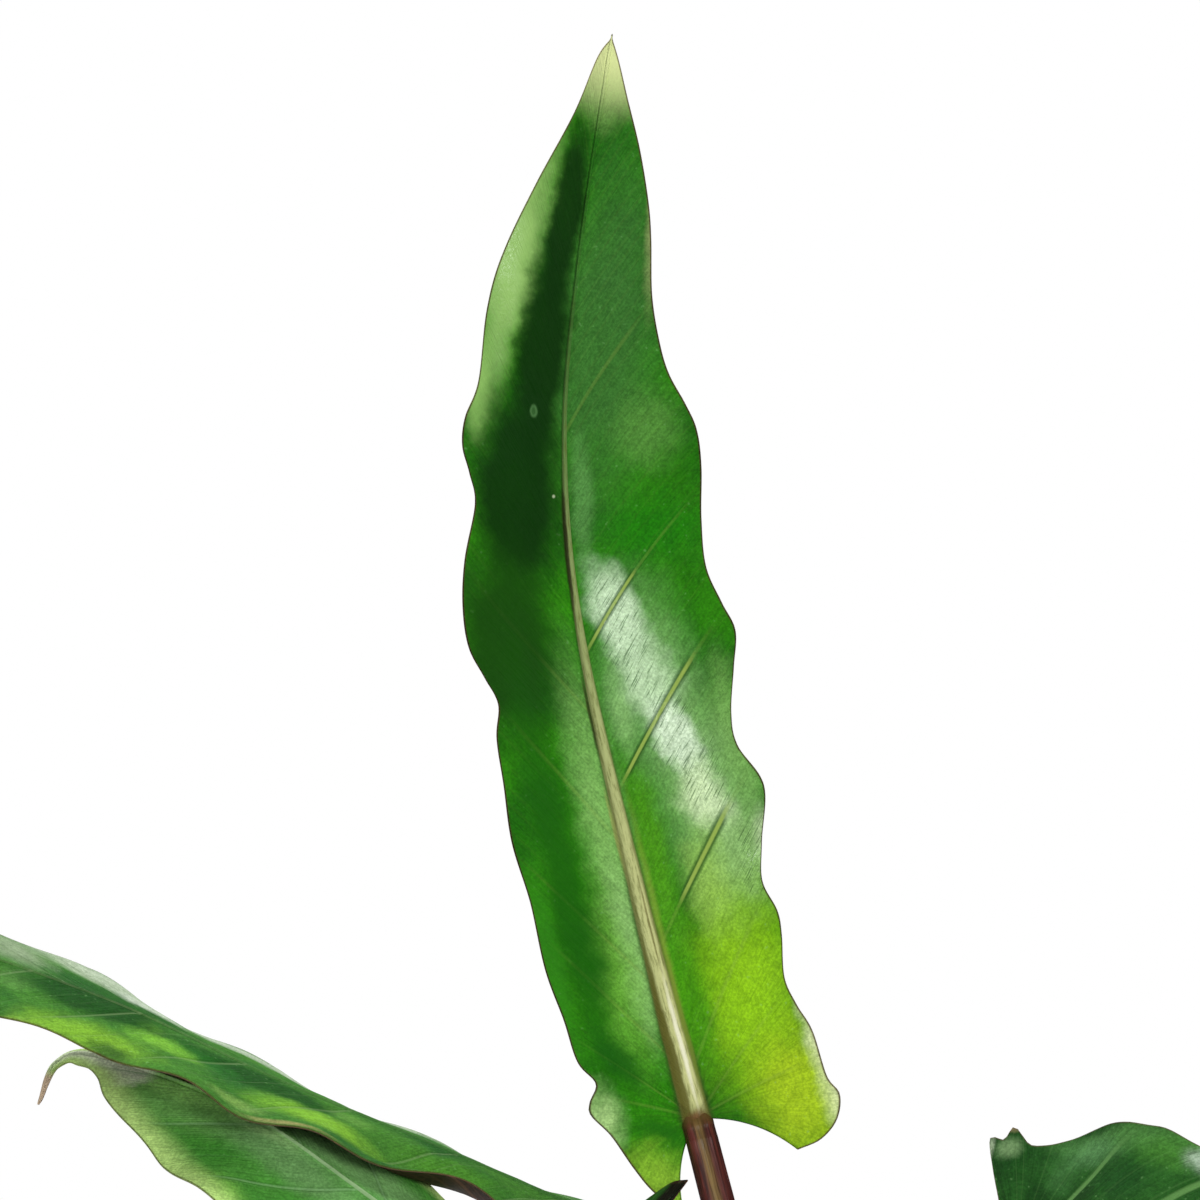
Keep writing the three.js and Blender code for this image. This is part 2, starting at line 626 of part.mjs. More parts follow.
// A tapered shell with a banded rim and a ring of drain holes in its floor.
function makePot() {
  const shoulder = POT_HEIGHT - RIM_DEPTH;
  const corner = POT_FLOOR + FOOT_BEVEL;
  const profile = [
    [0, 0],
    [POT_FOOT_RADIUS, 0],
    [POT_FOOT_RADIUS + FOOT_BEVEL, FOOT_BEVEL],
    [POT_RIM_RADIUS - RIM_STEP, shoulder],
    [POT_RIM_RADIUS - 0.6, shoulder + RIM_WALL],
    [POT_RIM_RADIUS, POT_HEIGHT - RIM_WALL],
    [POT_RIM_RADIUS - 0.8, POT_HEIGHT],
    [POT_RIM_RADIUS - RIM_WALL, POT_HEIGHT - 0.8],
    [POT_RIM_RADIUS - RIM_WALL - 0.6, shoulder + 2 * RIM_WALL],
    [potInside(shoulder + RIM_WALL), shoulder + RIM_WALL],
    [potInside(corner), corner],
    [potInside(POT_FLOOR) - FOOT_BEVEL, POT_FLOOR],
    [0, POT_FLOOR],
  ];
  let pot = toSolid(lathe(profile, POT_SEGMENTS));
  for (let k = 0; k < DRAIN_COUNT; k += 1) {
    const angle = (2 * Math.PI * k) / DRAIN_COUNT;
    const drill = new THREE.CylinderGeometry(DRAIN_RADIUS, DRAIN_RADIUS, 4 * POT_FLOOR, 12);
    drill.rotateX(Math.PI / 2);
    drill.translate(DRAIN_CIRCLE * Math.cos(angle), DRAIN_CIRCLE * Math.sin(angle), 0);
    pot = pot.subtract(toSolid(drill));
  }
  return named("pot", toGeometry(pot), potFinish);
}

// Two crossed ripples of unlike pitch, as the lumps of a watered soil surface.
function soilLump(x, y) {
  const coarse = Math.sin(x * 0.19 + 1.3) * Math.cos(y * 0.23 - 0.4);
  const fine = Math.sin(x * 0.47 - y * 0.31) * Math.cos(y * 0.53 + x * 0.17);
  return SOIL_RELIEF * (0.6 * coarse + 0.4 * fine);
}

// The soil fills the pot to below its rim and leaves a plain hole that the crown stands in.
function makeSoil() {
  const edge = SOIL_LEVEL - SOIL_RELIEF - GAP;
  const corner = POT_FLOOR + FOOT_BEVEL;
  const rings = [CROWN_RADIUS + GAP, ...SOIL_RINGS];
  const outermost = rings.at(-1);
  const profile = [
    [0, POT_FLOOR + GAP],
    [potInside(POT_FLOOR) - FOOT_BEVEL - GAP, POT_FLOOR + GAP],
    [potInside(corner) - GAP, corner],
    [potInside(edge) - GAP, edge],
    ...rings.toReversed().map((r) => [r, SOIL_LEVEL + SOIL_MOUND * (1 - r / outermost)]),
    ...crownProfile(GAP).toReversed(),
  ];
  const geometry = lathe(profile, POT_SEGMENTS);
  const at = geometry.getAttribute("position");
  for (let i = 0; i < at.count; i += 1) {
    if (at.getZ(i) > edge) at.setZ(i, at.getZ(i) + soilLump(at.getX(i), at.getY(i)));
  }
  return named("soil", toGeometry(toSolid(geometry)), soilFinish);
}

function named(name, geometry, finish) {
  const mesh = new THREE.Mesh(geometry, finish);
  mesh.name = name;
  return mesh;
}

const curves = LEAVES.map(petioleCurve);
const plant = new THREE.Group();
plant.add(makePot(), makeSoil(), makeCrown(curves));
LEAVES.forEach((leaf, i) => {
  plant.add(makePetiole(leaf, curves[i]), makeBlade(leaf, curves[i]));
});

export default plant;
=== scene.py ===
"""A potted Alocasia lauterbachiana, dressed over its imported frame.

Seven waved, sword-shaped blades on maroon petioles rise from a short sheathed stem in a plain
17 cm grower's pot of bark potting mix. Sizes in the classes are millimetres in the frame's axes:
+Z up, the origin at the centre of the pot's foot, the upright blade's upper face towards -Y.
"""

import logging
import math
from dataclasses import dataclass, field, replace
from enum import Enum
from functools import cached_property
from typing import Any, NamedTuple, Sequence

import bmesh
import bpy
import numpy as np
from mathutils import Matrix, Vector


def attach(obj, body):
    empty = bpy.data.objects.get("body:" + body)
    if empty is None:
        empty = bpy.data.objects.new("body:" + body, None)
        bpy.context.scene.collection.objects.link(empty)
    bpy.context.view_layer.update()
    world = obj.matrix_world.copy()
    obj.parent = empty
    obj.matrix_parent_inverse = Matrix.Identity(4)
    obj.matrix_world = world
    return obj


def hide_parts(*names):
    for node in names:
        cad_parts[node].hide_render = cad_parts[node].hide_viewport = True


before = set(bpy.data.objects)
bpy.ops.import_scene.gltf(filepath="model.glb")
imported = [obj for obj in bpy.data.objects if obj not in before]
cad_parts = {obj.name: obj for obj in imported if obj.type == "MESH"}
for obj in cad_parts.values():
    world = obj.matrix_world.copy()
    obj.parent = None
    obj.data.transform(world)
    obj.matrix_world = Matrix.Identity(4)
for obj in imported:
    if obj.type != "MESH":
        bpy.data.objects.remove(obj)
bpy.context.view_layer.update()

MM = 0.001
ROOT_BODY = "root"

Point = tuple[float, float, float]
Station = tuple[float, float]
Socket = bpy.types.NodeSocket
log = logging.getLogger("alocasia")


# Curves and small sums.

TINY = 1e-12


def smooth_step(value: np.ndarray, low: float, high: float) -> np.ndarray:
    """Eases from 0 at low to 1 at high."""
    share = np.clip((np.asarray(value, float) - low) / (high - low), 0, 1)
    return share * share * (3 - 2 * share)


def unit(vectors: np.ndarray) -> np.ndarray:
    """Scales vectors to length 1."""
    length = np.linalg.norm(vectors, axis=-1, keepdims=True)
    return vectors / np.maximum(length, TINY)


def dot(first: np.ndarray, second: np.ndarray) -> np.ndarray:
    """Dot products along the last axis, which is kept at length 1."""
    return np.sum(first * second, axis=-1, keepdims=True)


def bell(value: np.ndarray, width: float | np.ndarray) -> np.ndarray:
    """A soft bump, 1 in the middle."""
    return np.exp(-((value / width) ** 2))


class SmoothCurve:
    """A uniform Catmull-Rom curve through points, which can be walked by its own length."""

    DIVISIONS = 400
    SLOPE_STEP = 1e-4

    def __init__(self, points: Sequence[Sequence[float]]) -> None:
        """Lays the curve through the points.

        Args:
            points: The points that the curve passes, from its start to its end.
        """
        inner = np.array(points, float)
        before = 2 * inner[0] - inner[1]
        after = 2 * inner[-1] - inner[-2]
        self.knots = np.vstack([before, inner, after])
        self.spans = len(inner) - 1
        steps = self.at(np.linspace(0, 1, self.DIVISIONS + 1))
        self.walked = np.r_[0, np.cumsum(np.linalg.norm(np.diff(steps, axis=0), axis=1))]
        self.length = float(self.walked[-1])

    def at(self, turn: np.ndarray) -> np.ndarray:
        """Finds points by the curve's own parameter.

        Args:
            turn: The parameter, from 0 to 1.

        Returns:
            One point for each value.
        """
        place = np.clip(np.asarray(turn, float), 0, 1) * self.spans
        span = np.minimum(place.astype(int), self.spans - 1)
        weight = (place - span)[..., None]
        p0, p1, p2, p3 = (self.knots[span + k] for k in range(4))
        slope_1 = 0.5 * (p2 - p0)
        slope_2 = 0.5 * (p3 - p1)
        square = -3 * p1 + 3 * p2 - 2 * slope_1 - slope_2
        cube = 2 * p1 - 2 * p2 + slope_1 + slope_2
        return p1 + weight * (slope_1 + weight * (square + weight * cube))

    def turn_of(self, share: np.ndarray) -> np.ndarray:
        """The parameter at a share of the curve's length."""
        steps = np.linspace(0, 1, self.DIVISIONS + 1)
        return np.interp(np.clip(share, 0, 1) * self.length, self.walked, steps)

    def point(self, share: np.ndarray) -> np.ndarray:
        """The point at each share of the curve's length."""
        return self.at(self.turn_of(share))

    def tangent(self, share: np.ndarray) -> np.ndarray:
        """The direction of the curve at shares of its length."""
        turn, step = self.turn_of(share), self.SLOPE_STEP
        return unit(self.at(np.minimum(turn + step, 1)) - self.at(np.maximum(turn - step, 0)))


class Ripples:
    """A few crossed waves of unlike pitch, as the small unevenness of a grown or poured surface."""

    # The shortest and longest waves, as shares of the usual pitch.
    SPREAD = (0.6, 1.6)

    def __init__(self, seed: int, pitch: float, waves: int = 7) -> None:
        """Draws the waves' directions and phases.

        Args:
            seed: Which set of waves.
            pitch: Their usual length from crest to crest.
            waves: How many are crossed.
        """
        chance = np.random.default_rng(seed)
        heading = chance.uniform(0, 2 * math.pi, waves)
        turns = 2 * math.pi / (pitch * chance.uniform(*self.SPREAD, waves))
        self.across = np.stack([np.cos(heading), np.sin(heading)]) * turns
        self.phase = chance.uniform(0, 2 * math.pi, waves)

    def height(self, x: np.ndarray, y: np.ndarray) -> np.ndarray:
        """The height at each spot, about -1 to 1."""
        turns = x[..., None] * self.across[0] + y[..., None] * self.across[1] + self.phase
        return np.sin(turns).sum(-1) / math.sqrt(len(self.phase))


# Meshes.


class Sculpt:
    """Gathers grids of points into one mesh, with surface coordinates for its finishes."""

    WELD = 1e-6

    def __init__(self, name: str) -> None:
        """Starts an empty piece.

        Args:
            name: The piece's name in the scene.
        """
        self.name = name
        self.points: list[np.ndarray] = []
        self.faces: list[np.ndarray] = []
        self.finish_of: list[np.ndarray] = []
        self.maps: dict[str, list[np.ndarray]] = {}
        self.count = 0

    def add_grid(
        self,
        points: np.ndarray,
        maps: dict[str, np.ndarray] | None = None,
        finish: int = 0,
        flip: bool = False,
    ) -> None:
        """Adds a grid of quads. Grids that share edge points are welded when the piece is made.

        Args:
            points: Rows and columns of points, in millimetres.
            maps: Two surface coordinates for each point, by the name of their map.
            finish: Which of the piece's materials the grid wears.
            flip: Whether the grid's faces look the other way.
        """
        rows, columns = points.shape[:2]
        index = np.arange(rows * columns).reshape(rows, columns) + self.count
        corners = [index[:-1, :-1], index[:-1, 1:], index[1:, 1:], index[1:, :-1]]
        quads = np.stack(corners, -1).reshape(-1, 4)
        if flip:
            quads = quads[:, ::-1]
        self.points.append(points.reshape(-1, 3))
        self.faces.append(quads)
        self.finish_of.append(np.full(len(quads), finish))
        for name, values in (maps or {}).items():
            self.maps.setdefault(name, []).append(values.reshape(-1, 2))
        self.count += rows * columns

    def make(self, finishes: Sequence[bpy.types.Material]) -> bpy.types.Object:
        """Makes the scene object.

        Args:
            finishes: The materials, in the order that the grids name them.

        Returns:
            The new object, smooth shaded, in metres.
        """
        faces = np.concatenate(self.faces)
        mesh = bpy.data.meshes.new(self.name)
        mesh.from_pydata((np.concatenate(self.points) * MM).tolist(), [], faces.tolist())
        for name, values in self.maps.items():
            layer = mesh.uv_layers.new(name=name)
            layer.data.foreach_set("uv", np.concatenate(values)[faces.ravel()].ravel())
        mesh.polygons.foreach_set("material_index", np.concatenate(self.finish_of).astype(np.int32))
        for material in finishes:
            mesh.materials.append(material)
        weld(mesh, self.WELD)
        piece = bpy.data.objects.new(self.name, mesh)
        bpy.context.scene.collection.objects.link(piece)
        return piece


def weld(mesh: bpy.types.Mesh, distance: float) -> None:
    """Joins points that lie together, drops faces without area and shades the rest smooth.

    Args:
        mesh: The mesh to clean.
        distance: How near two points are joined, in metres.
    """
    work = bmesh.new()
    work.from_mesh(mesh)
    bmesh.ops.remove_doubles(work, verts=work.verts, dist=distance)
    bmesh.ops.dissolve_degenerate(work, edges=work.edges, dist=distance / 10)
    for face in work.faces:
        face.smooth = True
    work.to_mesh(mesh)
    work.free()
    mesh.update()


def tube_rings(
    centres: np.ndarray, tangents: np.ndarray, front: np.ndarray, radii: np.ndarray
) -> np.ndarray:
    """Lays rings of points round a centreline. The first point of each faces the front.

    Args:
        centres: One centre for each ring.
        tangents: The centreline's direction at each ring.
        front: The direction that the rings' first points face, one for each ring.
        radii: Ring by ring, the radius at each point round it.

    Returns:
        Rings by points by three. The last point of a ring repeats the first.
    """
    ahead = unit(front - dot(front, tangents) * tangents)
    side = np.cross(ahead, tangents)
    turn = np.linspace(0, 2 * math.pi, radii.shape[1])
    turn[-1] = 0
    reach = radii.copy()
    reach[:, -1] = reach[:, 0]
    forward = (reach * np.cos(turn))[..., None] * ahead[:, None]
    sideways = (reach * np.sin(turn))[..., None] * side[:, None]
    return centres[:, None] + forward - sideways


def turned_rings(profile: Sequence[Station], segments: int) -> np.ndarray:
    """Turns a profile round the vertical axis.

    Args:
        profile: Radius and height of each point.
        segments: How many steps go round.

    Returns:
        A grid with one row for each profile point. Its last column repeats the first.
    """
    radius, height = np.array(profile, float).T
    turn = np.linspace(0, 2 * math.pi, segments + 1)
    turn[-1] = 0
    ones = np.ones_like(turn)
    return np.stack(
        [radius[:, None] * np.cos(turn), radius[:, None] * np.sin(turn), height[:, None] * ones], -1
    )


# The share of the shorter edge beside a corner that its rounding may take.
ROUNDING_ROOM = 0.45


def round_profile(profile: Sequence[Sequence[float]], steps: int = 5) -> list[Station]:
    """Rounds the corners of a profile.

    Args:
        profile: Radius, height and rounding radius of each corner.
        steps: How many points make each rounded corner.

    Returns:
        The profile with an arc at each corner that has a rounding.
    """
    corners = np.array(profile, float)
    result = [tuple(corners[0, :2])]
    for before, here, after in zip(corners, corners[1:], corners[2:]):
        back, ahead = before[:2] - here[:2], after[:2] - here[:2]
        room = ROUNDING_ROOM * min(np.linalg.norm(back), np.linalg.norm(ahead))
        cut = min(here[2], room)
        start, end = here[:2] + unit(back) * cut, here[:2] + unit(ahead) * cut
        for share in np.linspace(0, 1, steps) if cut > 0 else [0.5]:
            bend = (1 - share) ** 2 * start + 2 * share * (1 - share) * here[:2] + share**2 * end
            result.append(tuple(bend))
    result.append(tuple(corners[-1, :2]))
    return result


def dress(piece: bpy.types.Object, slot: str, *nodes: str) -> bpy.types.Object:
    """Puts a finished piece on the frame.

    Args:
        piece: The piece.
        slot: The record's material slot; not used.
        nodes: The frame's nodes that it stands for.

    Returns:
        The piece.
    """
    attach(piece, ROOT_BODY)
    if nodes:
        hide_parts(*nodes)
    log.info("%s: %d faces, stands for %s", piece.name, len(piece.data.polygons), nodes or "nothing")
    return piece


# Shader nodes.

# Where an easing starts and ends, and what it gives at either end.
Ramp = tuple[float, float, float, float]
Links = dict[str | int, Any] | tuple
EASED = {"interpolation_type": "SMOOTHSTEP"}
# The Mix node's colour sockets, which share their names with its other kinds of socket.
FACTOR, UNDER, OVER, MIXED = 0, 6, 7, 2
# Water, wax and plant tissue bend light alike.
PLANT_IOR = 1.45
# Nearly all of a noise pattern lies between these.
NOISE = (0.3, 0.7)
# The net of the smallest veins, 2 mm from mesh to mesh.
MESHES = {"Scale": 0.5, "Randomness": 0.9}


# The sRGB curve is straight up to its knee and a power above it.
KNEE, STRAIGHT, OFFSET, POWER = 0.04045, 12.92, 0.055, 2.4


def linear(tone: str) -> tuple[float, ...]:
    """Turns an sRGB hex colour to the linear colour that the shaders take.

    Args:
        tone: The colour, such as "#2c7a22".

    Returns:
        Red, green, blue and an alpha of 1.
    """
    parts = [int(tone[k : k + 2], 16) / 255 for k in (1, 3, 5)]
    curved = [((c + OFFSET) / (1 + OFFSET)) ** POWER for c in parts]
    return *(c / STRAIGHT if c <= KNEE else high for c, high in zip(parts, curved)), 1.0


class Blend(Enum):
    """How one tone is laid over another."""

    MIX = "MIX"
    MULTIPLY = "MULTIPLY"


class Coat(NamedTuple):
    """One tone over what lies below it: a value and a ramp say how much of it shows."""

    tone: str | Socket
    value: Socket
    ramp: Ramp
    share: Socket | None = None
    how: Blend = Blend.MIX


class Shading:
    """The node tree of a material or of the world, in the making."""

    def __init__(self, owner: bpy.types.Material | bpy.types.World) -> None:
        """Empties the tree.

        Args:
            owner: The material or the world.
        """
        self.owner = owner
        owner.use_nodes = True
        self.tree = owner.node_tree
        self.tree.nodes.clear()

    def add(self, kind: str, links: Links = (), out: str | int = 0, **settings: Any) -> Socket:
        """Adds one shader node.

        Args:
            kind: The node's type without its usual start, such as "TexNoise".
            links: Outputs or values for its inputs, in their order, or by name or number.
            out: Which output to give back, by name or number.
            settings: The node's own options.

        Returns:
            The chosen output.
        """
        node = self.tree.nodes.new(f"ShaderNode{kind}")
        for option, value in settings.items():
            setattr(node, option, value)
        for place, value in links.items() if isinstance(links, dict) else enumerate(links):
            if isinstance(value, Socket):
                self.tree.links.new(value, node.inputs[place])
            else:
                node.inputs[place].default_value = value
        return node.outputs[out]

    def halves(self, uv_map: str) -> tuple[Socket, Socket]:
        """Both coordinates of a map, each on its own."""
        split = self.add("SeparateXYZ", (self.add("UVMap", uv_map=uv_map),)).node.outputs
        return split[0], split[1]

    def stretched(self, place: Socket, scale: Point, detail: float, roughness: float = 0.5) -> Socket:
        """A cloudy pattern, drawn out along one way.

        Args:
            place: Where on the surface.
            scale: How many of its marks lie in a unit of each coordinate.
            detail: How many finer layers it has.
            roughness: How strong those are.

        Returns:
            The pattern, mostly 0.3 to 0.7.
        """
        vector = self.add("Mapping", {"Vector": place, "Scale": scale})
        links = {"Vector": vector, "Scale": 1.0, "Detail": detail, "Roughness": roughness}
        return self.add("TexNoise", links)

    def coated(self, under: str | Socket, *coats: Coat) -> Socket:
        """Lays tones one over another.

        Args:
            under: The lowest tone.
            coats: The tones over it, from the lowest up.

        Returns:
            The colour.
        """
        for coat in coats:
            amount = self.add("MapRange", (coat.value, *coat.ramp), **EASED)
            if coat.share is not None:
                amount = self.add("Math", (amount, coat.share), operation="MULTIPLY")
            below, above = (linear(t) if isinstance(t, str) else t for t in (under, coat.tone))
            links = {FACTOR: amount, UNDER: below, OVER: above}
            under = self.add("Mix", links, MIXED, data_type="RGBA", blend_type=coat.how.value)
        return under

    def close(self, surface: Socket, kind: str = "OutputMaterial") -> bpy.types.ID:
        """Links the finished shader to the tree's output.

        Args:
            surface: The shader.
            kind: The output node's type.

        Returns:
            The finished material or world.
        """
        output = self.tree.nodes.new(f"ShaderNode{kind}")
        self.tree.links.new(surface, output.inputs["Surface"])
        return self.owner

    def finish(
        self, colour: Socket, gloss: Socket, height: Socket, relief: Station, ior: float = PLANT_IOR
    ) -> bpy.types.Material:
        """Ends a material in one opaque shader with low relief.

        Args:
            colour: Its base colour.
            gloss: Its roughness.
            height: The height of its relief.
            relief: How strong the relief is, and how deep in millimetres.
            ior: How strongly it bends light.

        Returns:
            The finished material.
        """
        strength, depth = relief
        bump = self.add("Bump", {"Strength": strength, "Distance": depth * MM, "Height": height})
        links = {"Base Color": colour, "Roughness": gloss, "IOR": ior, "Normal": bump}
        return self.close(self.add("BsdfPrincipled", links))


# Finishes of the plant.


@dataclass(frozen=True)
class Patch:
    """A soft patch of another tone on a blade, in millimetres along and across its midrib."""

    along: float
    across: float
    reach: Station
    tone: str
    strength: float
    tilt: float = 0.0
    core: float = 0.2


@dataclass(frozen=True)
class Shine:
    """A soft patch where the waxed skin is smoother, in millimetres along and across the midrib."""

    along: float
    across: float
    reach: Station
    tilt: float = 0.0
    core: float = 0.3


class LeafShading(Shading):
    """A face of a blade, with the maps that Blade lays on its mesh.

    place is in millimetres along and across the midrib, and run in rows and along them. main and
    lesser are the distances from the nearest side veins, from_edge the one from the margin, and
    from_rib the one from the midrib's middle, as a share of its half width.
    """

    DRIFT = {"Scale": 0.12, "Detail": 5.0, "Roughness": 0.62}
    MIDDLE = (0.5, 0.5, 0.5)
    # The furthest that a patch's outline strays, along and across.
    STRAY = (12.0, 7.0)

    def __init__(self, name: str) -> None:
        """Starts the material.

        Args:
            name: Its name.
        """
        super().__init__(bpy.data.materials.new(name))
        self.place, self.run = (self.add("UVMap", uv_map=uv_map) for uv_map in ("Leaf", "Rows"))
        self.main, self.lesser = self.halves("Lines")
        self.from_edge, self.from_rib = self.halves("Edge")

    @cached_property
    def drift(self) -> Socket:
        """Uneven shifts of up to about 0.5 either way, broad ones with finer ones on them."""
        drift = self.add("TexNoise", {"Vector": self.place, **self.DRIFT}, "Color")
        return self.add("VectorMath", (drift, self.MIDDLE), operation="SUBTRACT")

    def away(self, patch: Patch | Shine) -> Socket:
        """How far a place is from a patch's middle. The drift makes the outline uneven.

        Args:
            patch: The patch.

        Returns:
            The distance as a share of the patch's reach, 1 at its outline.
        """
        stray = (*map(min, self.STRAY, patch.reach), 0.0)
        uneven = self.add("VectorMath", (self.drift, stray, self.place), operation="MULTIPLY_ADD")
        links = {
            "Vector": uneven,
            "Location": (patch.along, patch.across, 0.0),
            "Rotation": (0.0, 0.0, math.radians(patch.tilt)),
            "Scale": (*patch.reach, 1.0),
        }
        inside = self.add("Mapping", links, vector_type="TEXTURE")
        return self.add("VectorMath", (inside,), "Value", operation="LENGTH")

    def patched(self, tissue: Socket, patches: Sequence[Patch]) -> Socket:
        """Lays patches over the tissue."""
        coats = (Coat(p.tone, self.away(p), (p.core, 1.0, p.strength, 0.0)) for p in patches)
        return self.coated(tissue, *coats)


@dataclass(frozen=True)
class LaminaFinish:
    """Living leaf, upper face: a smooth waxed skin over green tissue.

    The wax gives a broad soft gloss, broken into streaks by the fine veins that run side by side
    from the midrib to the margin. Side veins and midrib are paler, and the rim is maroon.
    """

    name: str
    deep: str = "#153f0c"
    fresh: str = "#2f7a1d"
    vein: str = "#86a64e"
    midrib_base: str = "#a9ad74"
    midrib_tip: str = "#57803a"
    midrib_edge: str = "#6f6a34"
    midrib_shade: str = "#35461a"
    midrib_strength: float = 0.96
    # Shifts the midrib's pale streak: a painted highlight on one side, painted shade on the other.
    midrib_light_shift: float = 0.0
    midrib_pale: Station = (0.3, 0.7)
    rim: str = "#4d2a22"
    rim_strength: float = 0.6
    margin: str = "#7fae4e"
    margin_strength: float = 0.0
    margin_reach: float = 5.5
    tip: str = "#b9cf8a"
    tip_from: float = 30.0
    tip_strength: float = 0.9
    dry_from: float = 0.0
    dry: str = "#a58c6b"
    vein_strength: float = 0.5
    lesser_strength: float = 0.08
    groove_shade_strength: float = 0.25
    vein_half_width: float = 0.26
    roughness: float = 0.85
    shiny_roughness: float = 0.3
    patches: tuple[Patch, ...] = ()
    # Laid over the veins: painted shade and light where the blade curves, and scars.
    painted_shading_and_scars: tuple[Patch, ...] = ()
    # Laid last, over the midrib: marks, among them its painted shade and highlight.
    marks: tuple[Patch, ...] = ()
    shines: tuple[Shine, ...] = ()
    bold: tuple[Shine, ...] = ()
    faint: float = 0.15

    SPECK = "#84b474"
    SHADE = "#8a9a86"
    # Painted dark breaks in the highlights, and the painted shade of the vein grooves.
    SCRATCH_SHADE = "#617d5e"
    GROOVE_SHADE = "#1d4a12"

    # Patterns, by how many of their marks lie in a millimetre. Fine veins lie about 0.9 mm apart,
    # with two scratches between two of them. The skin's cells are far finer than the grain, which
    # is drawn 0.7 mm wide so that it shows.
    STREAKS = (1.1, 0.045, 1.0)
    SCRATCHES = (2.3, 0.15, 1.0)
    RIB_GRAIN = (0.22, 1.9, 1.0)
    CLOUD = {"Scale": 0.045, "Detail": 4.0}
    MOTTLE = {"Scale": 0.35, "Detail": 6.0, "Roughness": 0.82}
    GRAIN = {"Scale": 1.5, "Detail": 2.0}
    SPECKS = {"Scale": 0.7, "Detail": 1.0}

    # How much of each tone shows, by its pattern.
    FRESHENED = (0.3, 0.62, 0.0, 1.0)
    MOTTLED = (0.38, 0.6, 0.34, 0.0)
    GRAINED = (0.4, 0.6, 0.3, 0.0)
    SPECKED = (0.68, 0.78, 0.0, 0.22)
    STREAKED = (0.36, 0.64, 0.17, 0.0)
    SCRATCHED = (0.35, 0.44, 0.75, 0.0)
    RIB_GRAINED = (0.46, 0.64, 0.0, 0.6)

    # Scratches darken the colour a little everywhere and most where the skin shines, as painted dark
    # breaks in its highlights, and make it duller.
    SCRATCHED_WHERE_GLOSSY = (0.35, 0.8, 1.0, 0.18)
    DULLED = (0.36, 0.5, 0.25, 0.0)
    CLOUDED_GLOSS = (0.96, 1.1)

    # Height of the scratches, the streaks and the meshes, and how the meshes rise.
    HEIGHTS = (0.5, 0.75, 0.18)
    MESHED = (0.0, 0.2, 0.0, 1.0)
    RELIEF = (0.8, 0.26)

    # Distances in millimetres from the margin, a vein and the blade's base.
    MARGIN_FROM = 0.8
    VEIN_FADE = (2.0, 14.0, 0.1, 1.0)
    LESSER = (0.08, 0.36)
    RIM = (0.1, 0.45)
    RIB_FOOT = (-0.5, 4.5, 0.9, 0.0)
    TIP_END = 5.0
    DRY_OVER = 3.0

    # In half widths of a vein and of the midrib, and in shares of the blade's length.
    VEIN_SPAN = (0.5, 1.6)
    GROOVE_SHADE_SPAN = (1.2, 4.0)
    RIB_INSIDE = (0.85, 1.1, 1.0, 0.0)
    RIB_SHOULDER = (0.95, 1.45, 0.8, 0.0)
    RIB_GREENS = (0.1, 0.8)
    RIB_FADES_AT = 0.75
    RIB_FADED = (0.95, 0.0)
    RIB_ENDS = (0.55, 0.9)

    def material(self, length: float) -> bpy.types.Material:
        """Makes the upper face's material.

        Args:
            length: The blade's length along its midrib.

        Returns:
            The material, which reads the maps that Blade lays on its mesh.
        """
        leaf = LeafShading(self.name)
        cloud, mottle, grain, specks = (
            leaf.add("TexNoise", {"Vector": leaf.place, **pattern})
            for pattern in (self.CLOUD, self.MOTTLE, self.GRAIN, self.SPECKS)
        )
        streaks = leaf.stretched(leaf.run, self.STREAKS, 3.0)
        scratches = leaf.stretched(leaf.run, self.SCRATCHES, 2.0)
        links = {"Vector": leaf.place, **MESHES}
        meshes = leaf.add("TexVoronoi", links, feature="DISTANCE_TO_EDGE")
        meshes = leaf.add("MapRange", (meshes, *self.MESHED), **EASED)
        gloss = self._shining(leaf, cloud)
        scratch_shade_share = leaf.add("MapRange", (gloss, *self.SCRATCHED_WHERE_GLOSSY), **EASED)

        tissue = leaf.coated(self.deep, Coat(self.fresh, cloud, self.FRESHENED))
        # Patches of other tone, among them painted highlights and sheen.
        tissue = leaf.patched(tissue, self.patches)
        margin = (self.MARGIN_FROM, self.margin_reach, self.margin_strength, 0.0)
        tissue = leaf.coated(
            tissue,
            Coat(self.margin, leaf.from_edge, margin),
            Coat(self.SHADE, mottle, self.MOTTLED, how=Blend.MULTIPLY),
            Coat(self.SHADE, grain, self.GRAINED, how=Blend.MULTIPLY),
            Coat(self.SPECK, specks, self.SPECKED),
            Coat(self.SHADE, streaks, self.STREAKED, how=Blend.MULTIPLY),
            # Darker scratches, most where the skin shines: painted dark breaks in its highlights.
            Coat(self.SCRATCH_SHADE, scratches, self.SCRATCHED, scratch_shade_share, Blend.MULTIPLY),
        )
        tissue = self._veined(leaf, tissue)
        # Painted shade and light where the blade curves, and scars, over the veins.
        tissue = leaf.patched(tissue, self.painted_shading_and_scars)
        tissue = self._ended(leaf, tissue, length)
        tissue = self._ribbed(leaf, tissue, length)
        # Marks over the midrib, among them its painted shade and highlight.
        tissue = leaf.patched(tissue, self.marks)

        dulled = leaf.add("MapRange", (scratches, *self.DULLED), **EASED)
        gloss = leaf.add("Math", (dulled, gloss), operation="ADD")
        relief: Socket | float = 0.0
        for pattern, height in zip((scratches, streaks, meshes), self.HEIGHTS):
            relief = leaf.add("Math", (pattern, height, relief), operation="MULTIPLY_ADD")
        return leaf.finish(tissue, gloss, relief, self.RELIEF)

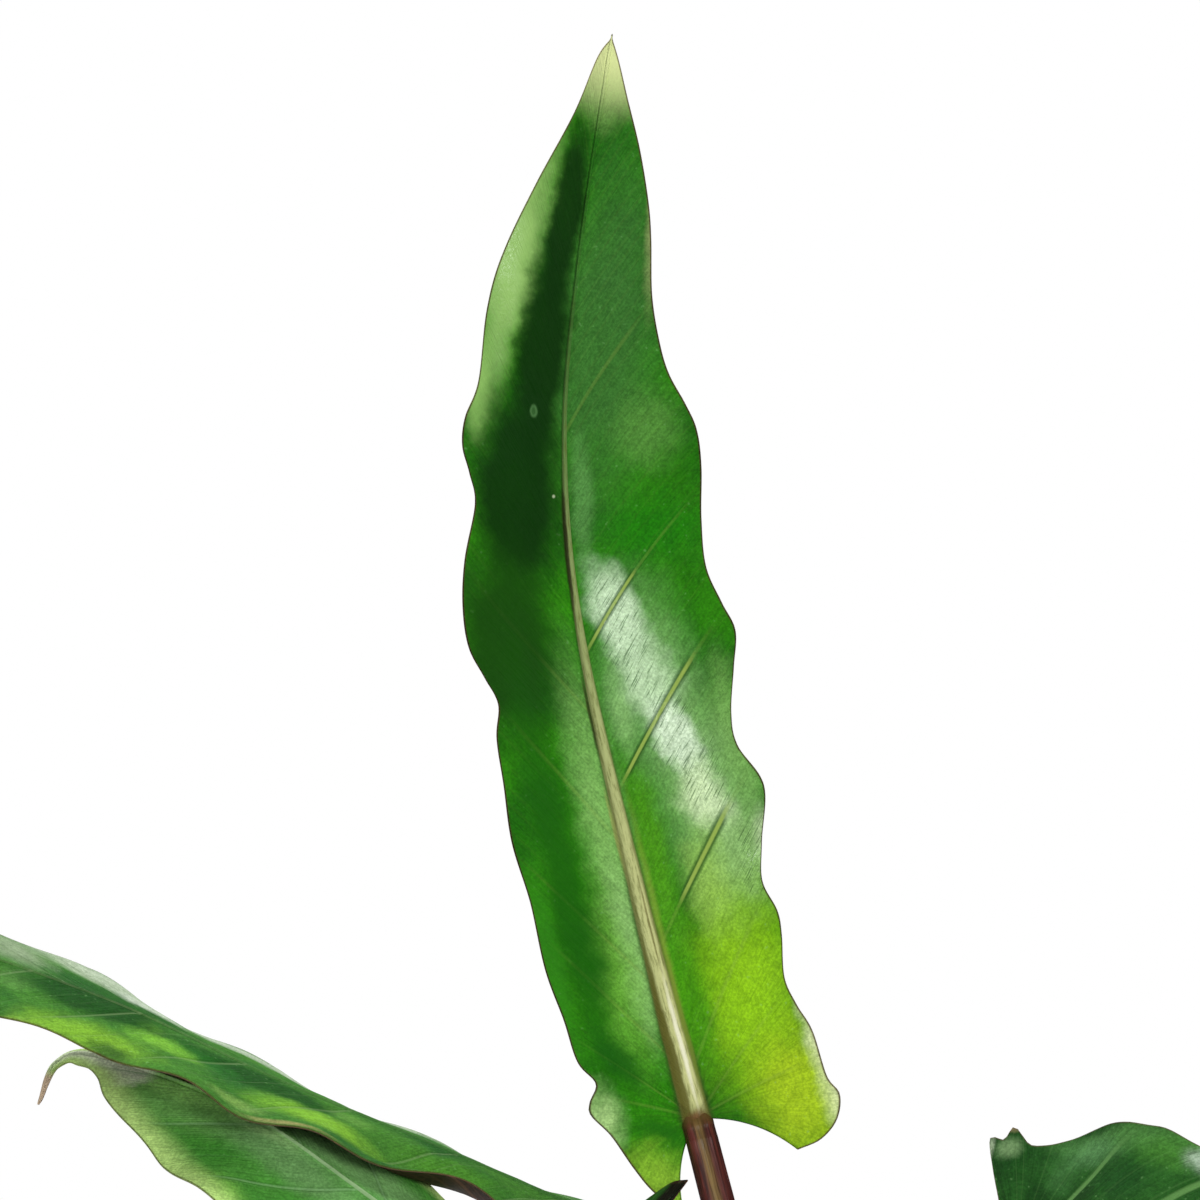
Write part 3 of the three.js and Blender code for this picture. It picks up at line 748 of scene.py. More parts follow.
    def _shining(self, leaf: LeafShading, cloud: Socket) -> Socket:
        """The skin's roughness, lower where it shines.

        Args:
            leaf: The shading.
            cloud: A pattern that makes it uneven.

        Returns:
            The roughness.
        """
        low, high = (self.roughness * share for share in self.CLOUDED_GLOSS)
        rough = leaf.add("MapRange", (cloud, *NOISE, low, high), **EASED)
        for shine in self.shines:
            ramp = (shine.core, 1.0, self.shiny_roughness, 1.0)
            smooth = leaf.add("MapRange", (leaf.away(shine), *ramp), **EASED)
            rough = leaf.add("Math", (rough, smooth), operation="MINIMUM")
        return rough

    def _veined(self, leaf: LeafShading, tissue: Socket) -> Socket:
        """Draws the side veins: a pale line between darker flanks, and the lesser ones fainter.

        The darker flanks are painted shade along the sunken vein grooves.

        Args:
            leaf: The shading.
            tissue: The colour so far.

        Returns:
            The colour with its veins, which fade towards the margin and outside the bold zones.
        """
        fade = leaf.add("MapRange", (leaf.from_edge, *self.VEIN_FADE), **EASED)
        if self.bold:
            shown: Socket | float = self.faint
            for zone in self.bold:
                near = leaf.add("MapRange", (leaf.away(zone), zone.core, 1.0, 1.0, 0.0), **EASED)
                shown = leaf.add("Math", (near, shown), operation="MAXIMUM")
            fade = leaf.add("Math", (fade, shown), operation="MULTIPLY")
        line = [self.vein_half_width * share for share in self.VEIN_SPAN]
        groove_shade = [self.vein_half_width * share for share in self.GROOVE_SHADE_SPAN]
        return leaf.coated(
            tissue,
            # Painted shade along the sunken grooves beside the veins.
            Coat(self.GROOVE_SHADE, leaf.main, (*groove_shade, self.groove_shade_strength, 0.0), fade),
            Coat(self.vein, leaf.lesser, (*self.LESSER, self.lesser_strength, 0.0)),
            Coat(self.vein, leaf.main, (*line, self.vein_strength, 0.0), fade),
        )

    def _ribbed(self, leaf: LeafShading, tissue: Socket, length: float) -> Socket:
        """Draws the midrib, olive-beige at the base and greener towards the tip, edged in brown.

        Shifted across the rib, its pale streak is a painted highlight on the lit side, and the other
        flank is painted shade.

        Args:
            leaf: The shading.
            tissue: The colour so far.
            length: The blade's length.

        Returns:
            The colour with its midrib.
        """
        along, across = leaf.halves("Leaf")
        grain = leaf.stretched(leaf.place, self.RIB_GRAIN, 5.0, 0.7)
        side = leaf.add("Math", (across,), operation="SIGN")
        # Shifting the pale streak across the rib paints a highlight on one side and shade on the
        # other.
        links = (side, leaf.from_rib, -self.midrib_light_shift)
        turned = leaf.add("Math", links, operation="MULTIPLY_ADD")
        from_line = leaf.add("Math", (turned,), operation="ABSOLUTE")
        ramp = (0.0, length * self.RIB_FADES_AT, *self.RIB_FADED)
        fade = leaf.add("MapRange", (along, *ramp), **EASED)
        greens, ends = ([length * share for share in at] for at in (self.RIB_GREENS, self.RIB_ENDS))
        rib = leaf.coated(
            self.midrib_base,
            Coat(self.midrib_tip, along, (*greens, 0.0, 1.0)),
            Coat(self.midrib_edge, grain, self.RIB_GRAINED),
            Coat(self.midrib_edge, from_line, (*self.midrib_pale, 0.0, 1.0), fade),
            Coat(self.midrib_edge, along, self.RIB_FOOT),
        )
        shown = leaf.add("MapRange", (along, *ends, self.midrib_strength, 0.0), **EASED)
        return leaf.coated(
            tissue,
            Coat(self.midrib_shade, leaf.from_rib, self.RIB_SHOULDER, fade),
            Coat(rib, leaf.from_rib, self.RIB_INSIDE, shown),
        )

    def _ended(self, leaf: LeafShading, tissue: Socket, length: float) -> Socket:
        """Draws the pale tip, the thin maroon rim and the part that dried out.

        Args:
            leaf: The shading.
            tissue: The colour so far.
            length: The blade's length.

        Returns:
            The colour with its ends.
        """
        along, _ = leaf.halves("Leaf")
        pale = (length - self.tip_from, length - self.TIP_END, 0.0, self.tip_strength)
        rim = (*self.RIM, self.rim_strength, 0.0)
        coats = [Coat(self.tip, along, pale), Coat(self.rim, leaf.from_edge, rim)]
        if self.dry_from:
            start = length - self.dry_from
            coats.append(Coat(self.dry, along, (start, start + self.DRY_OVER, 0.0, 1.0)))
        return leaf.coated(tissue, *coats)


@dataclass(frozen=True)
class UndersideFinish:
    """Living leaf, lower face: maroon pigment under a duller skin, with its veins standing out."""

    name: str = "Leaf_underside_maroon"
    deep: str = "#1f0c10"
    light: str = "#38141a"
    vein: str = "#6b4436"
    green: str = "#47502f"
    rim: str = "#5a4630"
    roughness: float = 0.62

    CLOUD = {"Scale": 0.06, "Detail": 5.0}
    STREAKS = (1.1, 0.05, 1.0)
    STREAK_HEIGHT = 0.6

    def material(self) -> bpy.types.Material:
        """Makes the lower face's material.

        Returns:
            The material, which reads the maps that Blade lays on its mesh.
        """
        leaf = LeafShading(self.name)
        cloud = leaf.add("TexNoise", {"Vector": leaf.place, **self.CLOUD})
        streaks = leaf.stretched(leaf.run, self.STREAKS, 3.0)
        links = {"Vector": leaf.place, **MESHES}
        meshes = leaf.add("TexVoronoi", links, feature="DISTANCE_TO_EDGE")
        skin = leaf.coated(
            self.deep,
            Coat(self.light, cloud, (*NOISE, 0.0, 1.0)),
            Coat(self.green, streaks, (0.5, 0.75, 0.0, 0.22)),
            Coat(self.vein, meshes, (0.02, 0.12, 0.18, 0.0)),
            Coat(self.vein, leaf.lesser, (0.15, 0.5, 0.3, 0.0)),
            Coat(self.vein, leaf.main, (0.3, 0.8, 0.7, 0.0)),
            Coat(self.vein, leaf.from_rib, (1.0, 1.6, 0.8, 0.0)),
            Coat(self.rim, leaf.from_edge, (0.15, 0.5, 0.5, 0.0)),
        )
        relief = leaf.add("Math", (streaks, self.STREAK_HEIGHT, cloud), operation="MULTIPLY_ADD")
        ramp = (*NOISE, self.roughness - 0.05, self.roughness + 0.1)
        gloss = leaf.add("MapRange", (cloud, *ramp), **EASED)
        return leaf.finish(skin, gloss, relief, (0.5, 0.2))


@dataclass(frozen=True)
class StalkFinish:
    """Living petiole: a smooth, nearly black maroon skin with long pale flecks.

    The groove up its front is paler and more olive, and where the stalk turns into the midrib a
    short collar is olive-brown.
    """

    name: str
    length: float
    deep: str = "#321511"
    light: str = "#5c2a24"
    groove: str = "#84703e"
    collar: str = "#5f4a24"
    fleck: str = "#7c4c40"
    roughness: float = 0.4

    FLECKS = (0.1, 1.5, 1.0)
    GRAIN = (0.05, 3.2, 1.0)
    GROOVE_BROKEN = (0.36, 0.56, 0.45, 1.0)
    COLLAR_FROM = -3.0
    COLLAR_TO = 1.0

    def material(self) -> bpy.types.Material:
        """Makes the petiole's material.

        Returns:
            The material, which reads the map that Petiole lays on its mesh.
        """
        stalk = Shading(bpy.data.materials.new(self.name))
        place = stalk.add("UVMap", uv_map="Stalk")
        along, across = stalk.halves("Stalk")
        around = stalk.add("Math", (across,), operation="ABSOLUTE")
        flecks = stalk.stretched(place, self.FLECKS, 4.0)
        grain = stalk.stretched(place, self.GRAIN, 2.0)
        broken = stalk.add("MapRange", (flecks, *self.GROOVE_BROKEN), **EASED)
        collar = (self.length + self.COLLAR_FROM, self.length + self.COLLAR_TO, 0.0, 0.8)
        skin = stalk.coated(
            self.deep,
            Coat(self.light, flecks, (0.35, 0.65, 0.0, 1.0)),
            Coat(self.fleck, flecks, (0.62, 0.74, 0.0, 0.6)),
            Coat(self.groove, around, (0.3, 2.2, 0.75, 0.0), broken),
            Coat(self.deep, grain, (0.52, 0.68, 0.0, 0.5)),
            Coat(self.collar, along, collar),
        )
        ramp = (*NOISE, self.roughness - 0.06, self.roughness + 0.08)
        gloss = stalk.add("MapRange", (flecks, *ramp), **EASED)
        return stalk.finish(skin, gloss, grain, (0.5, 0.3))


@dataclass(frozen=True)
class SheathFinish:
    """Petiole sheath: maroon-green living skin that turns papery and tan at its open edges."""

    name: str = "Petiole_sheath_papery"
    living: str = "#4c3229"
    green: str = "#5b5b36"
    paper: str = "#9b7d57"
    soil_line: str = "#2a1d15"
    roughness: float = 0.6

    FIBRES = (0.07, 1.9, 1.0)
    BLOTCH = {"Scale": 0.14, "Detail": 4.0}

    def material(self) -> bpy.types.Material:
        """Makes the sheaths' material.

        Returns:
            The material, which reads the map that Crown lays on its mesh.
        """
        sheath = Shading(bpy.data.materials.new(self.name))
        place = sheath.add("UVMap", uv_map="Stalk")
        along, across = sheath.halves("Stalk")
        around = sheath.add("Math", (across,), operation="ABSOLUTE")
        fibres = sheath.stretched(place, self.FIBRES, 5.0)
        blotch = sheath.add("TexNoise", {"Vector": place, **self.BLOTCH})
        skin = sheath.coated(
            self.living,
            Coat(self.green, blotch, (0.4, 0.62, 0.0, 1.0)),
            Coat(self.paper, fibres, (0.52, 0.7, 0.0, 0.7)),
            Coat(self.paper, around, (2.0, 6.5, 0.75, 0.0)),
            Coat(self.soil_line, along, (12.0, 24.0, 0.9, 0.0)),
        )
        ramp = (0.35, 0.7, self.roughness - 0.1, self.roughness + 0.2)
        gloss = sheath.add("MapRange", (fibres, *ramp), **EASED)
        return sheath.finish(skin, gloss, fibres, (0.7, 0.5))


# Finishes of the pot and what is in it.


@dataclass(frozen=True)
class PolypropyleneFinish:
    """Polypropylene, injection-moulded: charcoal, with the mould's fine spark-eroded grain.

    The grain breaks the gloss to satin. Handling leaves paler scuffs, and watering leaves dust.
    """

    name: str = "Polypropylene_moulded_charcoal"
    tone: str = "#2f3134"
    worn: str = "#4a4c4f"
    dust: str = "#6b6256"
    roughness: float = 0.46
    ior: float = 1.49

    # The grain is 0.25 mm in the real mould. It is drawn at 0.6 mm, or it wouldn't show.
    GRAIN = {"Scale": 1600.0, "Detail": 2.0}
    SMEAR = {"Scale": 26.0, "Detail": 6.0}
    SCUFFS = (60.0, 60.0, 620.0)
    DUST_BROKEN = (0.4, 0.65, 0.0, 1.0)

    def material(self) -> bpy.types.Material:
        """Makes the pot's material.

        Returns:
            The material, which reads the object's own coordinates.
        """
        shell = Shading(bpy.data.materials.new(self.name))
        place = shell.add("TexCoord", out="Object")
        height = shell.add("SeparateXYZ", (place,), "Z")
        grain = shell.add("TexNoise", {"Vector": place, **self.GRAIN})
        smear = shell.add("TexNoise", {"Vector": place, **self.SMEAR})
        scuffs = shell.stretched(place, self.SCUFFS, 4.0)
        broken = shell.add("MapRange", (smear, *self.DUST_BROKEN), **EASED)
        skin = shell.coated(
            self.tone,
            Coat(self.worn, smear, (0.45, 0.75, 0.0, 0.6)),
            Coat(self.worn, scuffs, (0.66, 0.76, 0.0, 0.7)),
            Coat(self.dust, height, (0.002, 0.03, 0.45, 0.0), broken),
        )
        ramp = (*NOISE, self.roughness - 0.06, self.roughness + 0.12)
        gloss = shell.add("MapRange", (smear, *ramp), **EASED)
        return shell.finish(skin, gloss, grain, (0.35, 0.12), self.ior)


@dataclass(frozen=True)
class GrainFinish:
    """A loose mineral or plant matter, crumbly and matt, whose grains differ a little in tone."""

    name: str
    dark: str
    light: str
    grain_mm: float
    depth_mm: float
    roughness: float

    # The coarse pattern is five times as wide as the grains.
    COARSER = 0.2
    FINE_SHARE = 0.6
    RELIEF = 0.8

    def material(self) -> bpy.types.Material:
        """Makes the matter's material.

        Returns:
            The material, which reads the object's own coordinates.
        """
        matter = Shading(bpy.data.materials.new(self.name))
        place = matter.add("TexCoord", out="Object")
        per_metre = 1 / (self.grain_mm * MM)
        links = {"Vector": place, "Scale": self.COARSER * per_metre, "Detail": 3.0}
        coarse = matter.add("TexNoise", links)
        fine = matter.add("TexNoise", {"Vector": place, "Scale": per_metre, "Detail": 6.0})
        both = matter.add("Math", (fine, self.FINE_SHARE, coarse), operation="MULTIPLY_ADD")
        skin = matter.coated(self.dark, Coat(self.light, both, (0.6, 1.0, 0.0, 1.0)))
        ramp = (*NOISE, self.roughness, self.roughness - 0.12)
        gloss = matter.add("MapRange", (fine, *ramp), **EASED)
        return matter.finish(skin, gloss, fine, (self.RELIEF, self.depth_mm))


POTTING_MIX = GrainFinish("Potting_mix_damp_peat", "#1c130c", "#3f2c1c", 1.6, 0.7, 0.95)
PINE_BARK = GrainFinish("Pine_bark_chipped", "#3a2415", "#7a5231", 1.8, 0.5, 0.85)
PERLITE = GrainFinish("Perlite_expanded_white", "#b9b6ac", "#eceae2", 0.8, 0.3, 0.8)
COIR = GrainFinish("Coir_fibre_retted", "#5b3d22", "#9a7144", 1.0, 0.1, 0.8)
STEM = GrainFinish("Stem_corky_brown", "#3a2a1c", "#7b6246", 2.2, 0.6, 0.85)
FLOOR = GrainFinish("Floor_paper_matt", "#e4e3e0", "#e8e7e4", 2.0, 0.05, 0.9)


# The leaves.


class Side(Enum):
    """A half of a blade, seen with the tip up. The value is its place in pairs."""

    LEFT = 0
    RIGHT = 1

    @property
    def sign(self) -> int:
        """Which way is outwards along the blade's right-hand direction."""
        return 1 if self is Side.RIGHT else -1


# The usual outline of a blade: distance along the midrib as a share of its length, and half
# width as a share of the widest, from the lobe's end round to the tip.
USUAL_MARGIN = (
    (-0.085, 0.66), (-0.062, 0.9), (-0.02, 1.02), (0.05, 0.97), (0.2, 0.93), (0.4, 1.0),
    (0.56, 0.96), (0.7, 0.74), (0.82, 0.49), (0.92, 0.22), (0.975, 0.08), (1, 0),
)
USUAL_CREST_SPACING = 38.0
USUAL_RIPPLE = 0.055


@dataclass(frozen=True)
class TurnedEdge:
    """A stretch of margin that turns up out of a hollow and shows the blade's underside."""

    side: Side
    at: float
    reach: float
    sink: float
    rise: float


@dataclass(frozen=True)
class LeafForm:
    """One leaf's lines, as the part's source has them.

    bearing is where its sheath stands round the stem, or None for the middle one. petiole and
    spine are points on their centrelines, channel is the petiole's grooved side, and facing the
    direction of the upper face at each spine point. fold and curl are the slope and the bend of
    the left and right half. margins are (along, half width) from the lobe's end to the tip.
    """

    name: str
    bearing: float | None
    channel: Point
    petiole: tuple[Point, ...]
    spine: tuple[Point, ...]
    facing: tuple[Point, ...]
    fold: Station
    curl: Station
    wave: float
    margins: tuple[tuple[Station, ...], tuple[Station, ...]] | None = None
    half_width: float = 0.0
    phase: float = 0.0
    lobe_reach: float = 1.0
    lobe_rise: Station = (0.0, 0.0)
    crests: tuple[tuple[float, ...], tuple[float, ...]] | None = None
    turned_up: TurnedEdge | None = None
    veins: tuple[tuple[float, ...], tuple[float, ...]] | None = None


LEAVES = (
    LeafForm(
        name="1_upright",
        bearing=None,
        channel=(0, -1, 0),
        petiole=((-1.5, 2, 200), (-8.5, 5, 262), (-22.4, 8, 338)),
        spine=((-40.7, 8, 411), (-54.5, 13, 464), (-68.2, 17, 526), (-71.9, 17, 571),
               (-68.5, 14, 614), (-60.6, 6, 667)),
        facing=((0.05, -1, 0.06), (0.05, -1, 0.05), (0, -1, 0), (-0.04, -1, 0),
                (-0.04, -1, 0.05), (0, -1, 0.1)),
        fold=(-0.3, -0.2),
        curl=(0.34, 0.16),
        wave=2.6,
        margins=(
            ((-22, 8.5), (-14, 14.2), (-8, 17), (1, 20.4), (7, 24), (10, 23.4), (14, 20.8),
             (20, 23.6), (30, 24.4), (42, 25.6), (58, 25.2), (73, 26.3), (87, 25), (98, 24.2),
             (105.5, 22.2), (112, 24.2), (119, 26.6), (128, 26.6), (138, 25), (150, 21.6),
             (157, 22.6), (163, 24.1), (169, 23.6), (177, 20.9), (193, 20.3), (206, 18.2),
             (223, 12.6), (241, 6.1), (255, 2.6), (260.2, 0)),
            ((-13, 21.5), (-12, 27.3), (-8.5, 32), (-3, 34.1), (2, 32.3), (13, 32), (20, 30),
             (27, 28.8), (37, 30.6), (43, 31), (51, 29.5), (60, 31.6), (73, 34.8), (84, 31.1),
             (92, 31.4), (103, 34.2), (112, 36.2), (120, 34.2), (130, 31.7), (143, 31.7),
             (157, 32.3), (167, 31.2), (174, 28.3), (182, 23.8), (190, 20.9), (201, 18),
             (214, 16.2), (223, 14.3), (235, 10.5), (247, 5.6), (255, 2.4), (260.2, 0)),
        ),
        crests=((-16, 8, 32, 73, 122, 163, 200), (-4, 40, 73, 112, 156, 200)),
        veins=((-30, -13, 11.7, 30.4, 65.1, 97.1), (-34, -16, 8.1, 38.6, 78.2, 112.6, 165.7)),
    ),
    LeafForm(
        name="2_left_upper",
        bearing=172,
        channel=(1, 0, 0),
        petiole=((-19, 2, 200), (-27, 0, 270), (-40, -13, 340)),
        spine=((-54, -30, 387), (-97, -41, 406.5), (-137, -50, 424), (-177, -60, 443.5),
               (-219, -72, 457), (-261, -84, 453)),
        facing=((0.35, -0.1, 1), (0.35, -0.06, 1), (0.4, -0.11, 1), (0.4, -0.24, 1),
                (0.15, -0.66, 1), (-0.1, -0.5, 1)),
        fold=(-0.13, -0.13),
        curl=(0, 0),
        wave=1.6,
        half_width=28.5,
        lobe_reach=0.5,
        lobe_rise=(0, 108),
        crests=((10, 50, 86, 118, 154, 190, 220), (6, 50, 94, 138, 181, 215)),
        turned_up=TurnedEdge(Side.LEFT, at=55, reach=27, sink=3.6, rise=5.2),
    ),
    LeafForm(
        name="3_left_lower",
        bearing=226,
        channel=(0.8, 0.4, 0),
        petiole=((-17, -22, 200), (-29, -47, 260), (-44, -76, 315)),
        spine=((-63.5, -105, 358), (-90, -94, 382), (-118, -78, 402), (-146, -62, 419),
               (-177.5, -45, 429), (-188, -42, 427.5), (-192, -43, 418)),
        facing=((0.2, -0.55, 0.85), (0.3, -0.55, 0.85), (0.34, -0.5, 0.85), (0.34, -0.5, 0.85),
                (0.1, -0.5, 0.9), (-0.4, -0.4, 0.8), (-0.9, -0.3, 0.2)),
        fold=(-0.34, -0.26),
        curl=(0.06, 0),
        wave=1.8,
        margins=(
            ((-13, 8), (-17, 15), (-15, 22), (-6, 26.5), (6, 25.4), (22, 27), (42, 25.4),
             (62, 27.2), (80, 25.8), (98, 26.4), (111, 24), (121, 20), (132, 15.5), (141, 10.5),
             (146, 6), (150, 3.8), (154, 3.2), (158, 2), (166, 1.2), (172, 0)),
            ((-11, 8), (-15, 14), (-12, 21), (-4, 25), (12, 24.5), (34, 26), (58, 24.6),
             (82, 25.6), (104, 23), (122, 19), (136, 13), (145, 6.5), (150, 3.8), (154, 3.2),
             (158, 2), (166, 1.2), (172, 0)),
        ),
        crests=((-10, 22, 62, 98, 132, 172), (-8, 34, 82, 120, 160, 200)),
    ),
    LeafForm(
        name="4_right_front",
        bearing=328,
        channel=(-1, 0, 0),
        petiole=((16, -12, 200), (20, -19, 270), (26, -33, 335)),
        spine=((31, -45, 382.5), (68.5, -60, 383.5), (116.5, -74, 375.5), (160, -88, 348),
               (189, -98, 310), (201, -103, 278)),
        facing=((0, -0.8, 0.6), (0, -0.8, 0.6), (0.12, -0.75, 0.62), (0.35, -0.7, 0.6),
                (0.55, -0.7, 0.4), (0.6, -0.7, 0.25)),
        fold=(0.04, 0.1),
        curl=(0, 0.05),
        wave=3,
        margins=(
            ((-3.8, 8), (-5.9, 15), (-8.9, 24), (-10.9, 31.8), (-7.2, 30.9), (-5.2, 34),
             (-2.8, 31.8), (-0.8, 30.2), (3, 31.3), (7, 33.4), (12, 35.3), (17, 35.5),
             (22, 34.8), (27, 34.1), (31, 33.9), (36.5, 31.8), (41, 30.6), (46, 30.1),
             (52, 29.8), (62, 31.4), (75, 33.4),
             (90, 30.6), (106, 32), (124, 28.4), (142, 29), (160, 23.4), (178, 20), (196, 13),
             (212, 6), (224, 2), (229, 0)),
            ((-10, 9), (-17, 17), (-18, 25), (-10, 31.5), (2, 31), (18, 29), (34, 32.4),
             (52, 31), (70, 29.4), (88, 32.6), (106, 30), (124, 29.8), (142, 25.6), (160, 23),
             (178, 17), (196, 12), (212, 5.5), (224, 2), (229, 0)),
        ),
        crests=((-6, 24, 70, 106, 142, 178, 214), (-12, 34, 88, 130, 170, 210)),
        veins=((-7, 18, 45, 72, 99, 126, 153, 180), (-16, 11, 38, 65, 92, 119, 146, 173)),
    ),
    LeafForm(
        name="5_right_rear",
        bearing=40,
        channel=(-0.7, -0.7, 0),
        petiole=((15, 14, 200), (20, 22, 262), (27, 36, 318)),
        spine=((38, 50, 345), (70, 80, 358), (106, 116, 350), (138, 150, 322), (158, 174, 284),
               (166, 186, 250)),
        facing=((-0.3, -0.3, 1), (-0.05, -0.1, 1), (0.2, 0.2, 1), (0.45, 0.45, 0.8),
                (0.6, 0.6, 0.5), (0.65, 0.7, 0.3)),
        fold=(0.18, 0.18),
        curl=(-0.1, -0.1),
        wave=3.4,
        half_width=29,
        phase=0.1,
        lobe_reach=1.1,
    ),
    LeafForm(
        name="6_left_rear",
        bearing=106,
        channel=(0.6, -0.8, 0),
        petiole=((-9, 21, 190), (-17, 32, 240), (-28, 46, 280)),
        spine=((-42, 62, 302), (-70, 92, 312), (-100, 124, 300), (-124, 152, 270),
               (-138, 170, 236), (-144, 178, 210)),
        facing=((0.25, -0.3, 1), (0.05, -0.05, 1), (-0.25, 0.25, 1), (-0.45, 0.55, 0.7),
                (-0.6, 0.7, 0.4), (-0.6, 0.75, 0.3)),
        fold=(0.16, 0.16),
        curl=(-0.08, -0.08),
        wave=3.0,
        half_width=26,
        phase=0.8,
    ),
    LeafForm(
        name="7_front_low",
        bearing=279,
        channel=(-0.3, 1, 0),
        petiole=((5, -22, 185), (9, -34, 222), (15, -50, 250)),
        spine=((24, -68, 266), (42, -104, 274), (62, -144, 262), (78, -176, 234),
               (87, -194, 204), (91, -202, 182)),
        facing=((-0.2, 0.35, 1), (-0.05, 0.05, 1), (0.15, -0.3, 1), (0.3, -0.6, 0.7),
                (0.35, -0.8, 0.4), (0.35, -0.8, 0.3)),
        fold=(0.2, 0.2),
        curl=(-0.1, -0.1),
        wave=2.8,
        half_width=25,
        phase=0.35,
    ),
)


@dataclass(frozen=True)
class Swell:
    """A broad low rise of the blade, or a hollow where its height is below 0."""

    along: float
    across: float
    reach: Station
    height: float


# The upright blade's own rises and hollows, which its gloss follows.
UPRIGHT_SWELLS = (
    Swell(82, 13, (24, 8), 1.5),
    Swell(66, 31, (20, 8), -0.6),
    Swell(118, 22, (16, 9), 0.9),
)

# Where a blade differs from the usual one. The left leaves' midribs hardly stand out.
BLADE_DETAILS: dict[str, dict[str, Any]] = {
    "1_upright": {
        "swells": UPRIGHT_SWELLS,
        "row_spacing": 0.8,
        "rib_base": 3.3,
        "row_reach": 40.0,
        "vein_bow": -0.6,
    },
    "2_left_upper": {"rib_base": 1.2, "rib_height": 0.2},
    "3_left_lower": {"rib_base": 1.5, "rib_height": 0.3},
}


class BladeSurface:
    """The blade as a sheet without thickness: finds any spot of it from along and across."""

    FAN_REACH = 33.0
    LOBE_LENGTH = 20.0
    EDGE_SINKS_FROM = 0.25
    EDGE_TURNS_FROM = 0.65
    CALM_TIP = (8.0, 70.0)
    MARGIN_SAMPLES = 800
    SLOPE_STEP = 0.2
    OUT_OF_STEP = 0.5

    def __init__(self, form: LeafForm) -> None:
        """Lays out the midrib and margins.

        Args:
            form: The leaf's lines.
        """
        self.form = form
        self.midrib = SmoothCurve(form.spine)
        self.length = self.midrib.length
        self.margin = {side: SmoothCurve(self._stations(side)) for side in Side}
        turn = np.linspace(0, 1, self.MARGIN_SAMPLES)
        self.widest = {side: float(self.margin[side].at(turn)[:, 1].max()) for side in Side}

    def _stations(self, side: Side) -> np.ndarray:
        """The side's margin stations, or the usual outline at this leaf's size, rippled.

        Args:
            side: The half of the blade.

        Returns:
            Stations as (along, half width).
        """
        form = self.form
        if form.margins:
            return np.array(form.margins[side.value], float)
        share, wide = np.array(USUAL_MARGIN).T
        along = self.length * np.where(share < 0, share * form.lobe_reach, share)
        fade = smooth_step(along, 0, self.FAN_REACH)
        ripple = fade * USUAL_RIPPLE * np.cos(self._wave_turn(side, along))
        return np.stack([along, form.half_width * wide * (1 + ripple)], 1)

    def _wave_turn(self, side: Side, along: np.ndarray) -> np.ndarray:
        """How far the margin's wave has turned.

        Args:
            side: The half of the blade.
            along: Distances along the midrib.

        Returns:
            The turn at each distance, in radians.
        """
        if not self.form.crests:
            shift = self.form.phase + self.OUT_OF_STEP * side.value
            return 2 * math.pi * (along / USUAL_CREST_SPACING + shift)
        crests = np.array(self.form.crests[side.value], float)
        i = np.clip(np.searchsorted(crests, along, side="left") - 1, 0, len(crests) - 2)
        return 2 * math.pi * (i + (along - crests[i]) / (crests[i + 1] - crests[i]))

    def frame_at(self, along: np.ndarray) -> tuple[np.ndarray, np.ndarray, np.ndarray, np.ndarray]:
        """The blade's own axes along its midrib.

        Args:
            along: Distances along the midrib.

        Returns:
            Points of the midrib, its direction, the upper face's direction and the right-hand one.
        """
        share = np.clip(along / self.length, 0, 1)
        point = self.midrib.point(share)
        tangent = self.midrib.tangent(share)
        point = point + np.minimum(along, 0)[..., None] * tangent
        facing = unit(np.array(self.form.facing, float))
        place = self.midrib.turn_of(share) * (len(facing) - 1)
        i = np.minimum(place.astype(int), len(facing) - 2)
        mix = (place - i)[..., None]
        up = (1 - mix) * facing[i] + mix * facing[i + 1]
        up = unit(up - dot(up, tangent) * tangent)
        return point, tangent, up, np.cross(tangent, up)

    def lift(self, side: Side, along: np.ndarray, across: np.ndarray) -> np.ndarray:
        """How far spots stand above the plane through the midrib.

        Args:
            side: The half of the blade.
            along: Distances along the midrib.
            across: Distances outwards from it.

        Returns:
            The height of each spot.
        """
        form, s = self.form, side.value
        outward = np.maximum(across, 0)
        wide = outward / self.widest[side]
        calm = smooth_step(self.length - along, *self.CALM_TIP)
        wave = form.wave * calm * wide**2 * np.cos(self._wave_turn(side, along))
        lobe = form.lobe_rise[s] * (np.maximum(0, -along) / self.LOBE_LENGTH) ** 2 * wide
        edge = 0.0
        if form.turned_up and form.turned_up.side is side:
            turned = form.turned_up
            near = np.maximum(0, 1 - ((along - turned.at) / turned.reach) ** 2) ** 2
            sunk = turned.sink * smooth_step(wide, self.EDGE_SINKS_FROM, self.EDGE_TURNS_FROM)
            edge = near * (turned.rise * smooth_step(wide, self.EDGE_TURNS_FROM, 1) - sunk)
        return form.fold[s] * outward + form.curl[s] * outward * wide + wave + lobe + edge

    def spot(self, side: Side, along: np.ndarray, across: np.ndarray) -> np.ndarray:
        """Points of the sheet.

        Args:
            side: The half of the blade.
            along: Distances along the midrib.
            across: Distances outwards from it.

        Returns:
            One point for each pair.
        """
        point, _, up, right = self.frame_at(along)
        lift = self.lift(side, along, across)
        return point + side.sign * across[..., None] * right + lift[..., None] * up

    def normal(self, side: Side, along: np.ndarray, across: np.ndarray) -> np.ndarray:
        """The direction that the upper face looks in.

        Args:
            side: The half of the blade.
            along: Distances along the midrib.
            across: Distances outwards from it.

        Returns:
            One unit vector for each pair.
        """
        step = self.SLOPE_STEP
        ahead = self.spot(side, along + step, across) - self.spot(side, along - step, across)
        inner = self.spot(side, along, np.maximum(across - step, 0))
        outward = self.spot(side, along, across + step) - inner
        return unit(side.sign * np.cross(outward, ahead))


